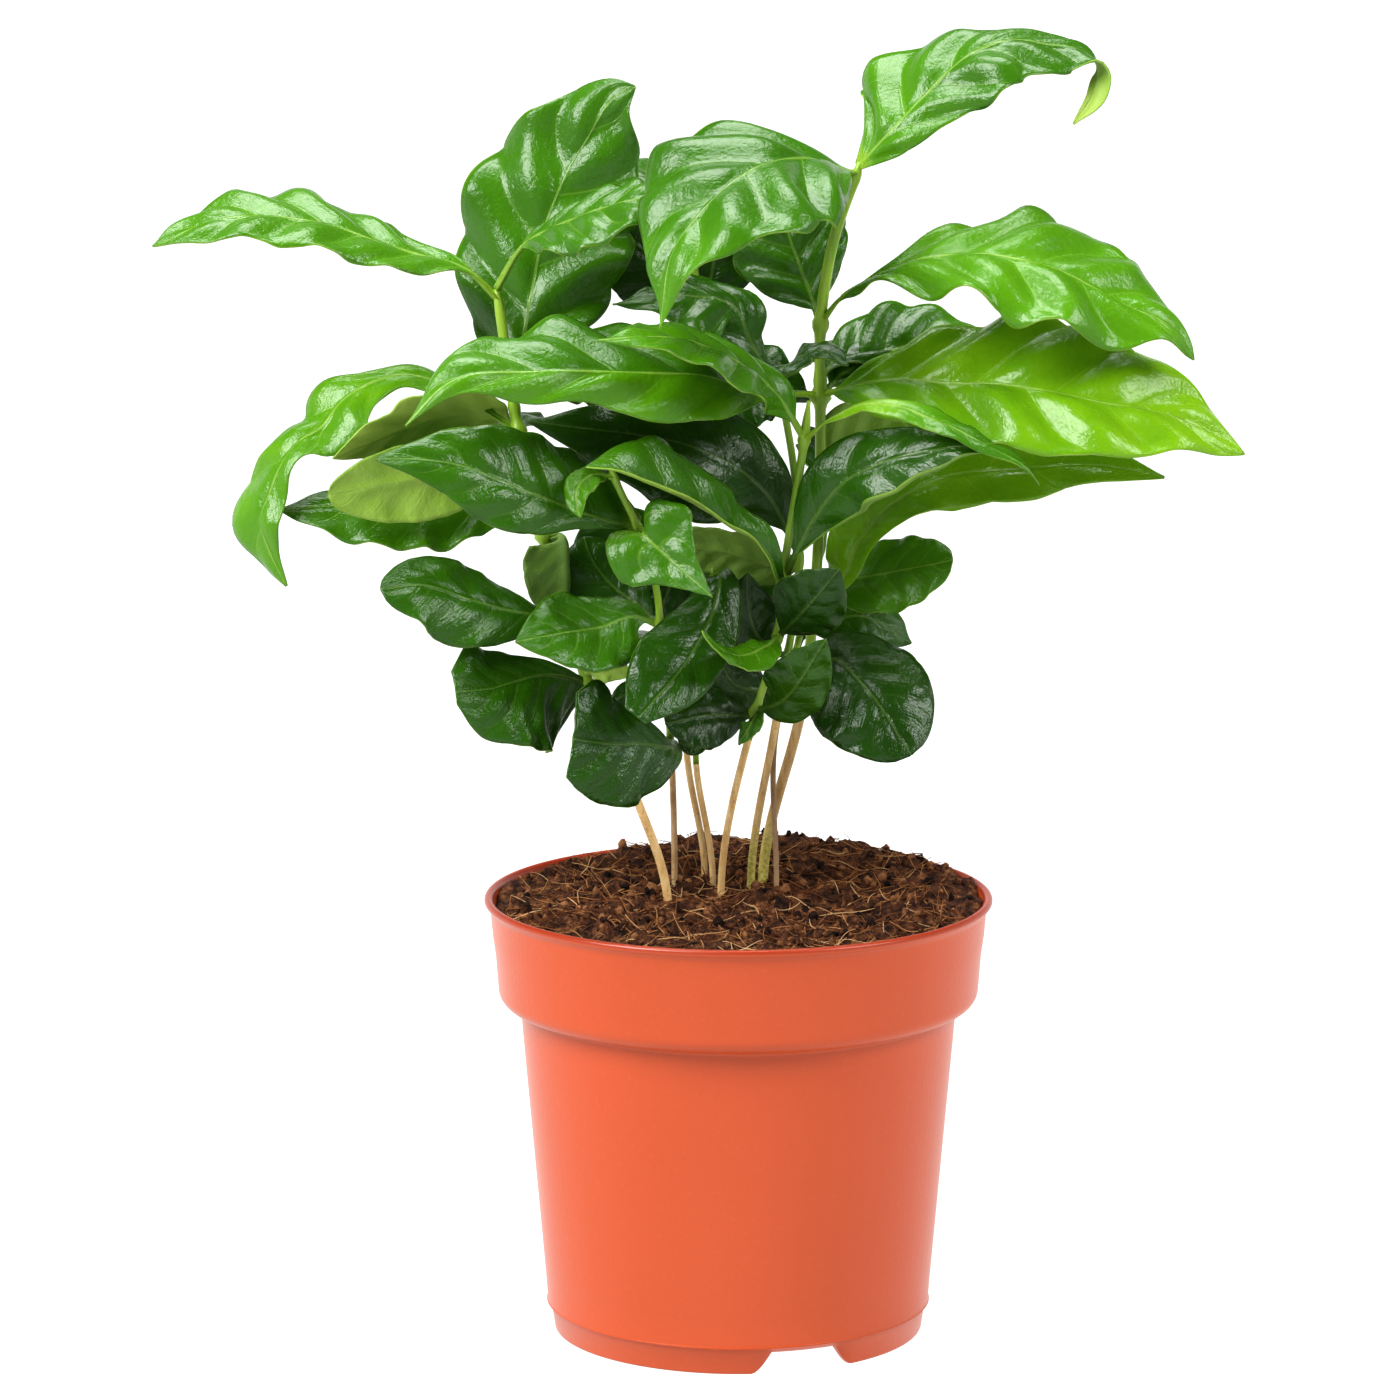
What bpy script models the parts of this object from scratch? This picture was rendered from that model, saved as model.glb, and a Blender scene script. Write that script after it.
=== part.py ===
# Potted coffee plant: eight leafy seedlings in a round plastic nursery pot filled with peat and coir.
# All sizes are in millimetres about the pot's axis, x to the right, y away from the viewer, z up from
# the table. Meshes are written in metres, moved so that the whole plant is centred on the origin.
import math

import bmesh
import bpy
import numpy as np

MM = 0.001
BOX_CENTRE = (-9.0, 8.3)       # middle of the whole plant seen from above, from the pot's axis
GAP = 0.4                      # clear space between neighbouring pieces

# Pot
POT_HEIGHT = 104.0
RIM_RADIUS = 60.0
BAND_TOP_RADIUS = 58.1
BAND_FOOT_RADIUS = 56.3
BAND_FOOT = 82.2               # height of the band's lower edge
BODY_TOP = 78.2                # height where the shoulder meets the body
BODY_TOP_RADIUS = 51.15
BODY_FOOT_RADIUS = 45.0
STEP_HEIGHT = 6.6              # ridge line above the feet
FOOT_RADIUS = 43.4
WALL = 1.1
FOOT_WALL = 2.0
FLOOR_UNDER = 5.6
FLOOR_TOP = 7.0
POT_SIDES = 48
NOTCH_ANGLES = (-69.5, 50.5, 170.5)
NOTCH_HEIGHT = 5.2
NOTCH_TOP_ANGLE = 21.0
NOTCH_FOOT_ANGLE = 33.0
DRAIN_RADIUS = 4.0
DRAIN_RING = 27.0
DRAINS = 6
SHOULDER_ROUND = 3.6
SHOULDER_TURN = 75             # degrees that the shoulder turns through
BEAD = 1.1                     # radius of the rounded rim
BEAD_START = -50               # degrees where the bead leaves the band
BEAD_DROP = 2.6                # height of the bead's foot under the rim
INNER_LIP = 0.5                # slope just inside the rim
FLOOR_STEP = 0.6               # height of the ridge line and its depth over the foot
RIDGE = 0.1                    # how far the ridge line stands out
CAP_RADIUS = 12.0              # flat middle of the floor
NOTCH_ROUND = 1.6
NOTCH_REACH = 7.0
CUTTER_SIDES = 12
CUTTER_REACH = 2.0             # how far a drain's cutter passes the floor

# Growing mix
SOIL_TOP = 101.5
SOIL_HEAP = 2.5                # extra height behind and to the right
SOIL_TILT = 2.0                # how much higher the mix is at the back wall than in the middle
SOIL_LUMPS = 1.0
HEAP_TOWARDS = (0.5, 0.87)     # direction in which the mix rises, seen from above
HEAP_BEND = 1.3
SOIL_SIDES = 32
SOIL_RINGS = 6
SOIL_EDGE_DROP = 0.5
POT_INNER = 56.8               # radius of the inner wall where the mix meets it
HOLE_FLOOR = 91.6
HOLE_SPARE = 0.7               # clear space round a stem in the mix

# Leaves
BLADE = 0.8                    # thickness
STALK = 0.9                    # half width of a leaf stalk
TIP = 0.5                      # half width left at a leaf tip
ROWS = (5, 9)                  # points along a leaf of the first and the second of these lengths
ROW_LENGTHS = (12.0, 55.0)
WOOD_RINGS = 6
GREEN_RINGS = 10
BUD_RADIUS = 0.35
BAR_SIDES = 6
SPREAD = (-1.0, -0.55, 0.0, 0.55, 1.0)

# Outline of a blade: place of its widest point, how blunt its base is, how blunt its tip is.
OUTLINES = {
    "slim": (0.55, 1.1, 1.0),
    "long": (0.42, 0.9, 1.2),
    "full": (0.50, 0.75, 0.85),
    "oval": (0.46, 0.85, 0.9),
    "egg": (0.60, 1.1, 0.55),
    "round": (0.52, 0.7, 0.5),
    "heart": (0.30, 0.4, 1.1),
    "lobed": (0.36, 0.55, 1.0),
}


# height: where it leaves the stem. path: its midrib from there to the tip. face: where its upper side looks,
# base to tip. half: half widths left and right of the midrib, one pair or rows of them from base to tip.
# fold: rise of each half. curl: droop towards each margin. wave, waves, phase: size (share of the half
# width), number and start of the margin's waves. neck: share of the length that is stalk. lobe: how far
# the margin reaches back beside the stalk.
def leaf(height, path, face, half, kind="long", fold=(5, 5), curl=30, wave=0.08, waves=5, phase=0.0,
         neck=0.08, lobe=0.0):
    return dict(height=height, path=path, face=face, half=half, kind=kind, fold=fold, curl=curl, wave=wave,
                waves=waves, phase=phase, neck=neck, lobe=lobe)


# Each seedling: its stem's middle line, its radius at the soil and at the top, the height where the tan
# wood ends, and its leaves with the midrib's points from the stem outwards.
SEEDLINGS = {
    "a": dict(
        line=[(-16, 0, 92), (-17, 0, 106), (-24, -3, 128), (-36, -3, 157), (-45, -3, 189), (-51, 0, 214),
              (-56, 5, 246)],
        radii=(1.0, 1.2), bark=138,
        leaves=[
            leaf(244, [(-62, 4, 250), (-78, 0, 256), (-98, -4, 263), (-118, -8, 264), (-134, -12, 258)],
                 (0, -0.35, 1), (13, 16), kind="full", curl=20, waves=4.5, neck=0.1),
            leaf(219, [(-49, 14, 240), (-43, 20, 265), (-36, 23, 278), (-28, 24, 289), (-24, 24, 291)],
                 (-0.1, -1, 0.25), (21, 21), kind="full", fold=(0, 0), curl=25, wave=0.12, waves=4,
                 phase=(0.1, 0.5)),
            leaf(246, [(-50, 3, 256), (-37, -4, 264), (-22, -9, 269), (-9, -9, 271)],
                 (0, -0.5, 1), 13, wave=0.07, neck=0.2),
            leaf(214, [(-69, 0, 225), (-77, -1, 227), (-86, -4, 225), (-92, -6, 221), (-96, -8, 216),
                  (-101, -10, 213), (-105, -12, 208), (-108, -13, 201), (-110, -14, 195), (-108, -15, 188),
                  (-104, -16, 180)],
                 [(0, -0.4, 1), (-0.1, -0.6, 0.8), (-0.6, -0.7, 0.5), (-0.7, -0.7, 0.1)],
                 [(1, 1), (1, 1), (2, 2), (4, 4), (4, 4), (6.5, 6), (11, 9), (7.5, 7), (3.5, 7), (4.5, 11),
                  (5.5, 10), (2.5, 6), (0.3, 0.3)],
                 kind="given", fold=(0, 0), curl=20, wave=0.1, neck=0.02),
            leaf(209, [(-58, -2, 208), (-66, -12, 206), (-82, -19, 204), (-94, -22, 202)],
                 (-0.1, 1, 0.1), (9, 10), kind="round", fold=(0, 0), curl=15, wave=0.03, neck=0.1),
            leaf(214, [(-54, 4, 216), (-60, 0, 218), (-69, -6, 218), (-80, -12, 215), (-93, -18, 210)],
                 (-0.2, 0.9, 0.6), (10, 7), kind="full", fold=(0, 0), curl=15, wave=0.05),
            leaf(190, [(-55, -2, 196), (-70, -4, 199), (-87, -8, 199), (-105, -11, 198)],
                 (0, -0.6, 0.8), (12, 10), kind="oval", fold=(0, 0), curl=20),
            leaf(189, [(-41, -6, 190), (-40, -8, 183), (-40, -9, 176), (-40, -9, 171)],
                 (-0.3, 0.95, 0.1), (11, 1), kind="round", fold=(0, 0), curl=20, wave=0.02, neck=0.02),
            leaf(168, [(-43, -9, 171), (-54, -15, 174.5), (-62, -19, 177.5), (-72, -23, 181.5),
                       (-82, -26, 181)],
                 (-0.1, -0.75, 0.6), (12, 10), kind="egg", fold=(0, 0), curl=25, wave=0.02, neck=0.12),
            leaf(155, [(-40.5, -9, 157.5), (-45, -12, 158.5), (-51.4, -17, 158), (-57.2, -21, 157),
                       (-65, -25, 157)],
                 (-0.1, -0.95, 0.3), [(1, 1), (13, 1.5), (17.5, 2.5), (18, 4), (17.5, 6), (16, 8.5),
                                      (13.5, 10.5),
                                      (10, 11), (3, 5)],
                 kind="given", fold=(0, 0), curl=15, wave=0.03, waves=7, neck=0.04),
            leaf(155, [(-35, -4, 158), (-30, -5, 159), (-25, -6, 157)],
                 (0.2, 0.9, -0.3), 4, kind="oval", fold=(0, 0), curl=10, wave=0.03),
            leaf(190, [(-50, 10, 196), (-58, 26, 198), (-66, 42, 190)],
                 (-0.1, 0.1, 1), 12, kind="oval"),
            leaf(212, [(-54, 14, 214), (-60, 30, 212), (-68, 46, 202)],
                 (-0.2, 0.2, 1), 12),
        ]),
    "b": dict(
        line=[(-15, 14, 92), (-15, 14, 106), (-16, 4, 141), (-18, -8, 162), (-19, -15, 179),
              (-23, -22, 194),
              (-29, -26, 208), (-30, -27, 211)],
        radii=(0.72, 0.85), bark=136,
        leaves=[
            leaf(194, [(-34, -25, 198), (-48, -32, 204.5), (-66, -37, 212), (-74, -38, 213),
                       (-82, -38, 213)],
                 (-0.1, -0.85, 0.5), [(1, 3), (2, 11), (5, 14.5), (9, 15), (10.5, 14.5), (9.8, 12.5),
                                      (7.3, 9),
                                      (4, 4.6), (0.5, 0.5)], kind="given", wave=0.03, neck=0.05),
            leaf(194, [(-22, -28, 195), (-21.7, -31, 194.4), (-16.5, -34, 190), (-11.3, -37, 185.8),
                       (-6.2, -40, 181.7)],
                 (0.1, -1, 0.05), [(11.5, 11.5), (11.5, 11.5), (11, 11), (6, 6.2), (5.5, 5.5)],
                 kind="heart",
                 fold=(5, 5), curl=12, wave=0.02, neck=0.28, lobe=7.5),
            leaf(207, [(-34, -30, 208), (-37, -33, 205), (-37, -34, 202), (-36, -35, 199)],
                 (-0.5, -0.7, 0.5), (4.5, 4), kind="oval", curl=10, wave=0),
            leaf(170, [(-23, -12, 172), (-32, -19, 171), (-41, -27, 171), (-51, -33, 170)],
                 (-0.1, -0.8, 0.6), (12, 12), kind="oval", curl=20, wave=0.02),
            leaf(152, [(-22, -6, 152), (-26, -8, 153), (-30, -9, 151)],
                 (0, -0.9, 0.3), 4, kind="oval", fold=(0, 0), curl=20, wave=0.03),
            leaf(170, [(-23, -8, 174), (-29, -5, 178), (-34, -3, 184), (-36, -1, 189)],
                 (0.2, -0.9, 0.4), (9, 9), kind="egg", fold=(0, 0), curl=20, wave=0.03),
            leaf(140, [(-17.3, -17, 142.5), (-22, -21, 144), (-29.6, -26, 145), (-34.2, -28, 145.9),
                       (-38, -30, 147)],
                 (0.1, -0.95, 0.3), [(1, 1), (1.2, 1.2), (1.5, 1.5), (5, 2), (10.5, 4), (14, 7.5),
                                     (14.5, 11.5),
                                      (13, 15), (9, 11)],
                 kind="given", fold=(0, 0), curl=15, wave=0.02, neck=0.3),
        ]),
    "c": dict(
        line=[(-8, 25, 92), (-8, 25, 106), (-12, 22, 132), (-12, 22, 170), (-11, 24, 213), (-9, 25, 236),
              (-13, 30, 264)],
        radii=(0.75, 0.9), bark=140,
        leaves=[
            leaf(236, [(-16, 27, 246), (-26, 28, 256), (-34, 28, 266)],
                 (0.3, -1, 0.2), 12, fold=(0, 0), curl=20, wave=0.06),
            leaf(236, [(-6, 27, 248), (-5, 29, 262), (-6, 30, 270)],
                 (0.1, -1, 0.2), 11, fold=(0, 0), curl=20, wave=0.06),
            leaf(213, [(-22, 26, 222), (-36, 26, 224), (-50, 26, 218)],
                 (-0.1, -0.6, 0.8), 13),
            leaf(213, [(-2, 26, 220), (8, 28, 222), (18, 32, 216)],
                 (0.1, -0.7, 0.7), 12, curl=20),
            leaf(172, [(-20, 14, 180), (-28, 10, 185), (-38, 6, 181)],
                 (0.1, -1, 0.2), (15, 10), kind="round", wave=0.04),
            leaf(170, [(-4, 18, 176), (3, 14, 174), (8, 13, 167)],
                 (0.1, -0.9, 0.3), 11, kind="round", wave=0.04),
            leaf(182, [(-14, 18, 178), (-17, 15, 172), (-19, 13, 165)],
                 (0.1, -1, 0.2), 7, kind="oval", fold=(0, 0), curl=20, wave=0.03),
            leaf(236, [(-12, 36, 243), (-16, 52, 243), (-20, 70, 234)],
                 (0, 0.1, 1), 14),
            leaf(213, [(-6, 38, 222), (-2, 54, 222), (2, 70, 212)],
                 (0, 0.2, 1), 13),
            leaf(262, [(-20, 42, 268), (-30, 58, 270), (-40, 76, 262)],
                 (0, 0.1, 1), 15),
            leaf(261, [(-8, 44, 263), (2, 60, 262), (14, 76, 252)],
                 (0.1, 0.1, 1), 13),
            leaf(150, [(-18, 34, 158), (-26, 46, 158), (-32, 58, 150)],
                 (-0.1, 0.2, 1), 12, kind="egg", wave=0.04),
        ]),
    "d": dict(
        line=[(-6, 14, 92), (-6, 14, 106), (-10, 10, 135), (-9, 4, 154), (-6, -2, 179), (-6, -2, 182)],
        radii=(0.75, 0.75), bark=133,
        leaves=[
            leaf(180, [(-4.5, -7, 181), (-6, -14, 173.6), (-9.7, -21, 167.2), (-14.3, -28, 161.5),
                       (-19.3, -33, 156.6),
                  (-23, -36, 153)],
                 (0.1, -0.9, 0.4), [(1, 1), (4.5, 4), (6.5, 7), (8, 9.5), (8, 11.5), (7.5, 11.5),
                                    (5.5, 9), (2, 4)],
                 kind="given", fold=(0, 0), curl=18, wave=0.05, waves=2.5, phase=(0.2, 0.6)),
            leaf(144, [(-10, 2, 143), (-11, -4, 138)],
                 (0, -0.8, 0.5), 4, kind="round", fold=(0, 0), curl=20, wave=0),
        ]),
    "e": dict(
        line=[(-4, 4, 92), (-4, 4, 106), (4, -2, 148), (9, -4, 166), (10, -5, 178), (15, -8, 213),
              (16, -9, 222)],
        radii=(0.82, 1.0), bark=141,
        leaves=[
            leaf(213, [(8, -14, 225), (-5, -26, 236), (-14, -34, 240), (-22, -40, 241), (-32, -46, 241)],
                 (-0.3, -0.6, 0.8), (12, 14), wave=0.06, waves=4),
            leaf(213,
                 [(21, -16, 219), (29, -20, 223), (36, -23, 223), (42, -25, 221), (50, -28, 218),
                  (58, -31, 214), (65, -32, 210), (68, -32, 206)],
                 (0.1, -0.3, 1), [(2, 2), (3, 3), (6, 4), (8, 3)], fold=(5, -20), curl=20, wave=0.05),
            leaf(178,
                 [(6.7, -11, 186.4), (4, -13, 190), (-2.6, -18, 194.6), (-8.3, -23, 199.3),
                  (-15.8, -29, 204),
                  (-21.5, -33, 207), (-27.5, -37, 210), (-34.7, -40, 211.4)],
                 (-0.3, -0.8, 0.6),
                 [(1, 1), (1.2, 2.5), (1.5, 5.5), (2, 8), (2.2, 9.5), (2.4, 11.5), (2.2, 12), (1.6, 7),
                  (0.3, 0.3)],
                 kind="given", fold=(70, 5), curl=15, wave=0.02, waves=3, neck=0.02),
            leaf(180, [(14, -8, 188), (18, -11, 196), (24, -15, 204), (32, -19, 209), (41, -22, 212),
                       (51, -26, 214),
                  (62, -26, 213)],
                 (0.2, -0.8, 0.55), [(5, 5), (9, 9), (10, 11), (9, 10), (7, 8)], fold=(0, 0), curl=20,
                 wave=(0.05, 0.1)),
            leaf(166, [(6, -16, 166), (0.6, -24, 165.4), (-4.4, -32, 168.5), (-8.5, -38, 173.5)],
                 (0.1, -0.6, 0.8), (5.5, 4.5), kind="oval", fold=(0, 0), curl=20, wave=0.04),
            leaf(166, [(14, -10, 172), (23, -16, 184)],
                 (0.3, -0.9, 0.3), 9, kind="oval", fold=(0, 0), curl=20, wave=0.04),
            leaf(148, [(10, -10, 152), (20, -18, 168)],
                 (0.3, -0.9, 0.3), 8, kind="oval", fold=(0, 0), curl=20, wave=0.06),
            leaf(147, [(-6, -6, 148), (-17, -12, 147)],
                 (0, -0.9, 0.5), 8, kind="round", fold=(0, 0), curl=20, wave=0.06),
            leaf(148, [(3, -9, 147), (0, -12, 142)],
                 (-0.5, -0.8, 0.4), 3, kind="oval", fold=(0, 0), curl=20, wave=0),
        ]),
    "f": dict(
        line=[(3, 9, 92), (3, 9, 106), (9, 5, 146), (14, 3, 183), (13, 5, 202), (9, 7, 226)],
        radii=(0.95, 0.85), bark=147,
        leaves=[
            leaf(223, [(3, 5, 233), (-1, 4, 242), (-11, 1, 245), (-20, -3, 245), (-29, -7, 244)],
                 (0, -0.6, 0.8), [(8, 8), (15, 8), (14, 9), (9, 8)], fold=(0, 0), curl=25, wave=0.12,
                 waves=4),
            leaf(223, [(12, -1, 230), (19, -3, 233), (25, -8, 230)],
                 (0.1, -0.3, 1), 6, kind="oval", curl=20, wave=0.05),
            leaf(184, [(5, -2, 201), (-10, -8, 211), (-24, -14, 215), (-36, -18, 217), (-49, -20, 219)],
                 (-0.2, -0.8, 0.6), (17, 15), fold=(0, 0), curl=25, wave=0.05),
            leaf(182, [(6, 7, 181.5), (-1, 8, 183.7), (-9, 9, 184.7), (-17, 9, 184)],
                 (0, 1, 0.3), [(1, 1), (5, 5), (5.5, 5.5), (5.8, 5.8), (5.8, 5.8), (4, 4)], kind="given",
                 fold=(0, 0), curl=15, wave=0.02),
            leaf(160, [(8, 0, 162), (4, -3, 167), (2, -4, 175), (2, -4, 181)],
                 (0, -1, 0.2), 8, kind="oval", fold=(0, 0), curl=20, wave=0.03),
            leaf(151, [(4, 3, 152), (-1, 1, 154), (-4.5, 0, 160)],
                 (0, -1, 0.2), 6.5, kind="oval", fold=(0, 0), curl=20, wave=0.03),
        ]),
    "g": dict(
        line=[(6, 16, 92), (6, 16, 106), (15, 13, 147), (19, 12, 196), (19, 11, 220), (19, 11, 237),
              (22, 10, 257),
              (28, 8, 275)],
        radii=(1.2, 1.3), bark=149,
        leaves=[
            leaf(274,
                 [(35, 4, 283), (42, 6, 290), (49, 8, 297), (55, 9, 301), (62, 11, 303), (71, 12, 302),
                  (80, 12, 300), (83, 11, 297), (82, 9, 292), (77, 7, 284)],
                 [(-0.5, -0.75, 0.5), (-0.5, -0.75, 0.5), (-0.4, -0.75, 0.6), (-0.2, -0.6, 0.8),
                  (-0.1, -0.5, 0.9),
                  (0, -0.45, 0.9), (0.1, -0.4, 0.9), (0.7, 0.6, 0.3), (0.6, 0.8, 0.1)],
                 [(1, 1), (14, 6.5), (20, 9.5), (16, 14), (9, 14), (6, 12), (5, 9), (2, 6), (0.3, 0.3)],
                 kind="given", fold=(0, 0), curl=20, wave=0.05, neck=0.02),
            leaf(272,
                 [(14, -8, 278), (4, -18, 277), (-7, -30, 270), (-15, -38, 260), (-18, -42, 243)],
                 [(-0.1, -0.6, 0.8), (-0.3, -0.7, 0.7), (-0.8, -0.6, 0.4)],
                 [(20, 21), (24, 26), (24, 24), (18, 18)],
                 fold=(8, 8), curl=35, wave=0.06, neck=0.03),
            leaf(237, [(23, 8, 243), (29, 3, 248), (41, -4, 254), (56, -9, 256), (72, -12, 253),
                  (88, -14, 245), (98, -14, 240), (104, -13, 232)],
                 [(0, -0.35, 1), (0.1, -0.5, 0.9), (0.5, -0.6, 0.7)],
                 [(16, 16), (22, 16), (24, 18), (23, 16)],
                 kind="slim", wave=(0.1, 0.2), waves=4, phase=(0.25, 0.6)),
            leaf(237, [(18, 13, 240), (12, 18, 256), (8, 22, 269), (6, 24, 280)],
                 (-0.1, -1, 0.3), (15, 14), fold=(0, 0)),
            leaf(220,
                 [(4, -5, 224), (-9, -19, 229.5), (-24, -29, 231.5), (-44, -38, 233), (-66, -46, 231),
                  (-75, -48, 222)],
                 [(-0.1, -0.6, 0.8), (-0.2, -0.6, 0.8), (-0.5, -0.6, 0.6)], (11, 23), kind="long",
                 fold=(-25, 8),
                 wave=0.07, waves=4, neck=0.12),
            leaf(220,
                 [(34, -3, 226), (49, -8, 226), (63, -12, 226), (81, -15, 223), (100, -15, 219),
                  (116, -12, 210)],
                 [(0, -0.7, 0.7), (0.1, -0.75, 0.7), (0.3, -0.7, 0.7)],
                 [(20, 17), (21, 17), (23, 17), (19, 16)],
                 kind="full", fold=(8, 8), curl=25, wave=(0.05, 0.09), neck=0.04),
            leaf(172, [(24, 10, 177), (28, 6, 187), (35, 1, 196), (46, -3, 203), (66, -6, 206),
                       (83, -8, 207),
                  (98, -8, 204)],
                 (0.1, -0.8, 0.6), [(1, 1), (6, 3), (8, 4), (9, 6), (9.5, 8.5), (9, 8.5), (7.5, 6.5),
                                    (4.5, 4), (0.3, 0.3)],
                 kind="given", curl=20, wave=(0.05, 0.14), waves=4, neck=0.08),
            leaf(220, [(27, 20, 226), (44, 26, 231), (64, 30, 228)],
                 (0, -0.8, 0.6), 13, fold=(0, 0), curl=20, wave=0.06),
            leaf(196, [(24, 14, 205), (38, 18, 212), (52, 20, 213)],
                 (0.1, 1, 0.2), 12, fold=(0, 0), curl=20, wave=0.03),
            leaf(196, [(24, 26, 206), (30, 42, 208), (36, 60, 200)],
                 (0.1, 0.1, 1), 13),
            leaf(157, [(22, 6, 159), (31, -3, 152), (40, -9, 139)],
                 (0.2, -1, 0.3), (15, 15), kind="round", fold=(0, 0), curl=25, wave=0.03),
            leaf(224, [(26, 28, 230), (32, 44, 227), (34, 62, 214)],
                 (0, 0.1, 1), 14),
        ]),
    "h": dict(
        line=[(9, 8, 92), (9, 8, 106), (9, 13, 141), (13, 20, 156), (20, 28, 182), (21, 29, 186)],
        radii=(0.6, 0.75), bark=141,
        leaves=[
            leaf(176, [(26, 19, 176), (39, 13, 179), (50, 8, 182)],
                 (0.1, -0.8, 0.6), 10, kind="round", fold=(0, 0), curl=20, wave=0.06),
            leaf(162, [(29, 24, 166), (41, 26, 159)],
                 (0.3, -0.8, 0.5), 9, kind="oval", fold=(0, 0), curl=20, wave=0.04),
            leaf(157, [(18, 32, 166), (24, 46, 168), (28, 60, 160)],
                 (0.1, 0.2, 1), 12, kind="egg", wave=0.04),
            leaf(182, [(14, 40, 190), (6, 52, 190), (0, 62, 182)],
                 (-0.1, 0.2, 1), 12, kind="oval", wave=0.05),
        ]),
}


def clear_scene():
    for item in list(bpy.data.objects):
        bpy.data.objects.remove(item, do_unlink=True)


def material(name, colour, roughness):
    made = bpy.data.materials.new(name)
    made.use_nodes = True
    shader = made.node_tree.nodes["Principled BSDF"]
    shader.inputs["Base Color"].default_value = (*colour, 1.0)
    shader.inputs["Roughness"].default_value = roughness
    return made


def add_object(name, points, faces, paint=None, smooth=True):
    placed = (np.asarray(points, float) - (*BOX_CENTRE, 0.0)) * MM
    mesh = bpy.data.meshes.new(name)
    mesh.from_pydata(placed.tolist(), [], [list(map(int, face)) for face in faces])
    mesh.update()
    made = bpy.data.objects.new(name, mesh)
    bpy.context.collection.objects.link(made)
    if paint:
        mesh.materials.append(paint)
    if smooth:
        mesh.polygons.foreach_set("use_smooth", [True] * len(mesh.polygons))
    return made


def apply_modifiers(target):
    graph = bpy.context.evaluated_depsgraph_get()
    baked = bpy.data.meshes.new_from_object(target.evaluated_get(graph))
    target.modifiers.clear()
    target.data = baked


def join_solids(target, others, operation="UNION", solver="MANIFOLD"):
    group = bpy.data.collections.new(target.name + "_with")
    bpy.context.scene.collection.children.link(group)
    for item in others:
        bpy.context.collection.objects.unlink(item)
        group.objects.link(item)
    change = target.modifiers.new("Join", "BOOLEAN")
    change.operand_type = "COLLECTION"
    change.collection = group
    change.operation = operation
    change.solver = solver
    apply_modifiers(target)
    for item in others:
        bpy.data.objects.remove(item, do_unlink=True)
    bpy.data.collections.remove(group)


def unit(vectors):
    return vectors / np.linalg.norm(vectors, axis=-1, keepdims=True)


# Cubic spans through rows of numbers, each slope the mean of those of the two spans that meet there.
def cubic(given, at, u):
    slope = np.gradient(given, at, axis=0)
    k = np.clip(np.searchsorted(at, u, "right") - 1, 0, len(at) - 2)
    span = (at[k + 1] - at[k])[:, None]
    s = (u[:, None] - at[k][:, None]) / span
    return ((2 * s**3 - 3 * s**2 + 1) * given[k] + (s**3 - 2 * s**2 + s) * span * slope[k]
            + (3 * s**2 - 2 * s**3) * given[k + 1] + (s**3 - s**2) * span * slope[k + 1])


# A smooth curve through the points, at the shares u of its length.
def smooth_curve(points, u):
    given = np.asarray(points, float)
    steps = np.linalg.norm(np.diff(given, axis=0), axis=1)
    return cubic(given, np.concatenate([[0.0], np.cumsum(steps)]) / steps.sum(), u)


def stem_point(stem, height):
    line = smooth_curve(stem, np.linspace(0, 1, 200))
    return line[np.argmin(np.abs(line[:, 2] - height))]


def spread_rows(rows, u):
    table = np.atleast_2d(np.asarray(rows, float))
    at = np.linspace(0.0, 1.0, len(table))
    if len(table) > 2:
        return cubic(table, at, u)
    return np.stack([np.interp(u, at, column) for column in table.T], -1)


def both_sides(value):
    return np.broadcast_to(np.asarray(value, float), (2,))


# A blade's upper surface: the midrib carries a cross-section. Each half leaves the midrib at its fold
# angle and bends down by the curl in an arc; the margin rises and falls as a sine along the leaf.
# Width of a blade, 0 to 1, at the shares s of its length: a power of a sine up to the widest place and a
# power of a cosine from there. The kind "given" leaves it all to the half widths.
def outline_width(kind, s):
    if kind == "given":
        return np.ones_like(s)
    widest, base_blunt, tip_blunt = OUTLINES[kind]
    swell = np.sin(math.pi / 2 * np.clip(s / widest, 0, 1)) ** base_blunt
    taper = np.cos(math.pi / 2 * np.clip((s - widest) / (1 - widest), 0, 0.9999)) ** tip_blunt
    return np.where(s < widest, swell, taper)


def half_rows(shape):
    if isinstance(shape["half"], list):
        return shape["half"]
    return [both_sides(shape["half"])]


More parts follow.
